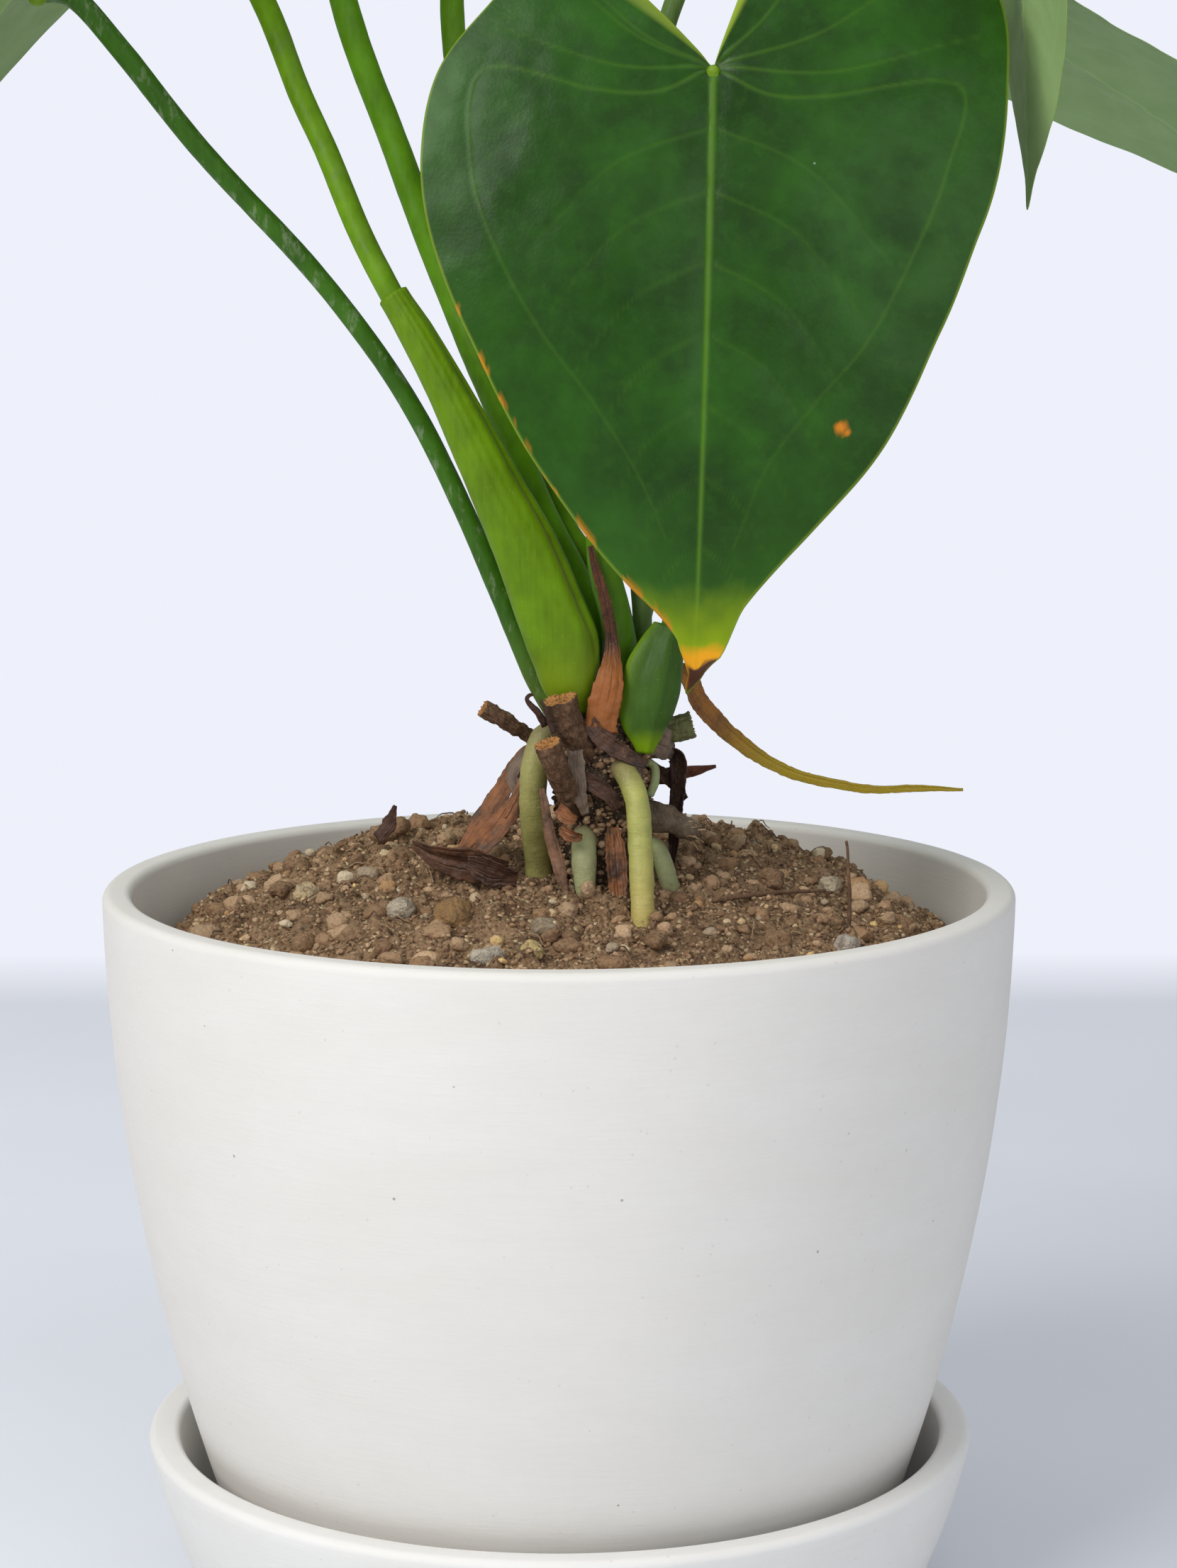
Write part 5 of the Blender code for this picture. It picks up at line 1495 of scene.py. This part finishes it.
def build_dry():
    for index, (name, (route, widths, across, cup)) in enumerate(DRY.items()):
        crease = 0.5 if name in ("dry_bract_left", "dry_leaf_curled") else 0.0
        dry_sheet(name + "_sheet", route, widths, across, cup, index, [name], DRY_TONES[name],
                  DRY_GOLD.get(name), crease)
    for index, (name, (route, widths, across, tones)) in enumerate(SCRAPS.items()):
        dry_sheet(name, route, widths, across, 0.10, index + 20, [], tones, None, 0.0, 0.6, 0.30)


TORN_END = (27.2, -18.0, 176.8)


def build_frayed_tip():
    """Broken fibres where the knotted root was torn."""
    rng = random.Random(63)
    fibres = []
    for _ in range(46):
        start = np.array(TORN_END)
        start = start + [rng.uniform(-0.5, 0.7), rng.uniform(-2, 2), rng.uniform(-1.9, 1.9)]
        way = np.array([rng.uniform(0.6, 1.2), rng.uniform(-0.7, 0.5), rng.uniform(-0.9, 0.9)])
        length = rng.uniform(1.4, 4.2)
        drop = np.array([0, 0, -rng.uniform(0.2, 1.6)])
        route = even_route([start + way * length * t + drop * t * t for t in np.linspace(0, 1, 6)], 0.35)
        points, faces, _, _ = tube_mesh(route, np.linspace(0.24, 0.07, len(route)), 6)
        fibres.append((points, faces, rng.choice(FRAYED_TINTS)))
    gather("root_frayed_tip", fibres, crumb_look("frayed_root"))


def build_twigs():
    for index, (name, (route, radii)) in enumerate(TWIGS.items()):
        line = even_route(route, 0.6)
        line = line + np.stack([layered(line, 6, 2, index), layered(line, 6, 2, index + 5),
                                np.zeros(len(line))], axis=1) * 0.35
        sizes = spread_array(radii, len(line))
        points, faces, _, _ = tube_mesh(line, sizes, 16, wobble=0.08, wobble_size=1.2, seed=index,
                                        round_start=True, round_end=True)
        piece(name + "_bark", points, faces,
              bark_look(name + "_tone", (0.07, 0.04, 0.025), (0.19, 0.10, 0.055), (0.32, 0.20, 0.12)),
              [name])


# ---------------------------------------------------------------- stage, light, camera

def area_light(name, place, size, power, tone):
    data = bpy.data.lights.new(name, "AREA")
    data.size = size
    data.energy = power
    data.color = tone
    light = bpy.data.objects.new(name, data)
    light.location = place
    light.rotation_euler = (Vector(LIGHT_AIM) - Vector(place)).to_track_quat("-Z", "Y").to_euler()
    bpy.context.scene.collection.objects.link(light)


def build_stage():
    world = bpy.context.scene.world or bpy.data.worlds.new("World")
    bpy.context.scene.world = world
    world.use_nodes = True
    tree = world.node_tree
    background = tree.nodes["Background"]
    background.inputs["Color"].default_value = (*SKY, 1)
    paths = tree.nodes.new("ShaderNodeLightPath")
    strength = tree.nodes.new("ShaderNodeMapRange")
    strength.inputs["To Min"].default_value = SKY_LIGHT
    strength.inputs["To Max"].default_value = 1.0
    tree.links.new(paths.outputs["Is Camera Ray"], strength.inputs["Value"])
    tree.links.new(strength.outputs["Result"], background.inputs["Strength"])
    look = Look("stage_floor")
    base = look.ramp(look.noise(120, 2, 0.4), (0.3, (0.74, 0.765, 0.815)), (0.7, (0.77, 0.795, 0.845)))
    material = look.finish(base, 0.8, None, Specular_IOR_Level=0.2)
    depth = look.node("ShaderNodeSeparateXYZ", {"Vector": look.at}).outputs["Y"]
    glow = look.node("ShaderNodeEmission", {"Color": (*SKY, 1), "Strength": 1.0})
    fade = look.node("ShaderNodeMixShader", {"Fac": look.share(depth, FLOOR_BACK - FLOOR_FADE, FLOOR_BACK)})
    look.tree.links.new(look.shader.outputs[0], fade.inputs[1])
    look.tree.links.new(glow.outputs[0], fade.inputs[2])
    look.tree.links.new(fade.outputs[0], look.tree.nodes["Material Output"].inputs["Surface"])
    data = bpy.data.meshes.new("stage_floor")
    corners = [(x, y, 0) for x, y in ((-FLOOR_HALF, FLOOR_FRONT), (FLOOR_HALF, FLOOR_FRONT),
                                      (FLOOR_HALF, FLOOR_BACK), (-FLOOR_HALF, FLOOR_BACK))]
    data.from_pydata(corners, [], [(0, 1, 2, 3)])
    data.materials.append(material)
    floor = bpy.data.objects.new("stage_floor", data)
    bpy.context.scene.collection.objects.link(floor)
    for light in LIGHTS:
        area_light(*light)


def build_camera():
    data = bpy.data.cameras.new("camera")
    data.lens = CAMERA_LENS
    data.sensor_width = CAMERA_SENSOR
    data.clip_start, data.clip_end = 0.02, 20
    camera = bpy.data.objects.new("camera", data)
    camera.location = CAMERA_PLACE
    camera.rotation_euler = [math.radians(angle) for angle in CAMERA_TURN]
    bpy.context.scene.collection.objects.link(camera)
    bpy.context.scene.camera = camera


def build_leaves():
    deep = leaf_look("leaf_deep", (0.011, 0.050, 0.0020), (0.040, 0.150, 0.005), (0.16, 0.27, 0.10),
                     (0.085, 0.200, 0.012))
    light = leaf_look("leaf_light", (0.022, 0.090, 0.010), (0.060, 0.190, 0.008), (0.26, 0.40, 0.15),
                      (0.12, 0.26, 0.03))
    young = leaf_look("leaf_young", (0.085, 0.19, 0.02), (0.20, 0.34, 0.01), (0.24, 0.36, 0.13),
                      (0.26, 0.40, 0.02))
    build_leaf("front", deep, 360, 190, 3, spots=((72.5, 27.5, 1.7), (73.6, 28.6, 1.0)), waviness=0.9)
    build_leaf("left", young, 200, 90, 5, margin_from=0.93)
    build_leaf("right", light, 200, 90, 6, waviness=1.2)
    build_leaf("right_hanging", young, 160, 70, 7)
    for index, name in enumerate(("upper_left", "top", "back", "upper_right")):
        build_leaf(name, light, 200, 90, 11 + index, waviness=1.2)


for build in (build_camera, build_stage, build_pot, build_saucer, build_soil, build_crumbs, build_fibres,
              build_stones,
              build_crown, build_roots, build_stubs, build_dry, build_frayed_tip, build_twigs, build_sheaths,
              build_petioles, build_leaves):
    build()

view = bpy.context.scene.view_settings
view.view_transform, view.look, view.exposure, view.gamma = "Standard", "None", 0.0, 1.0
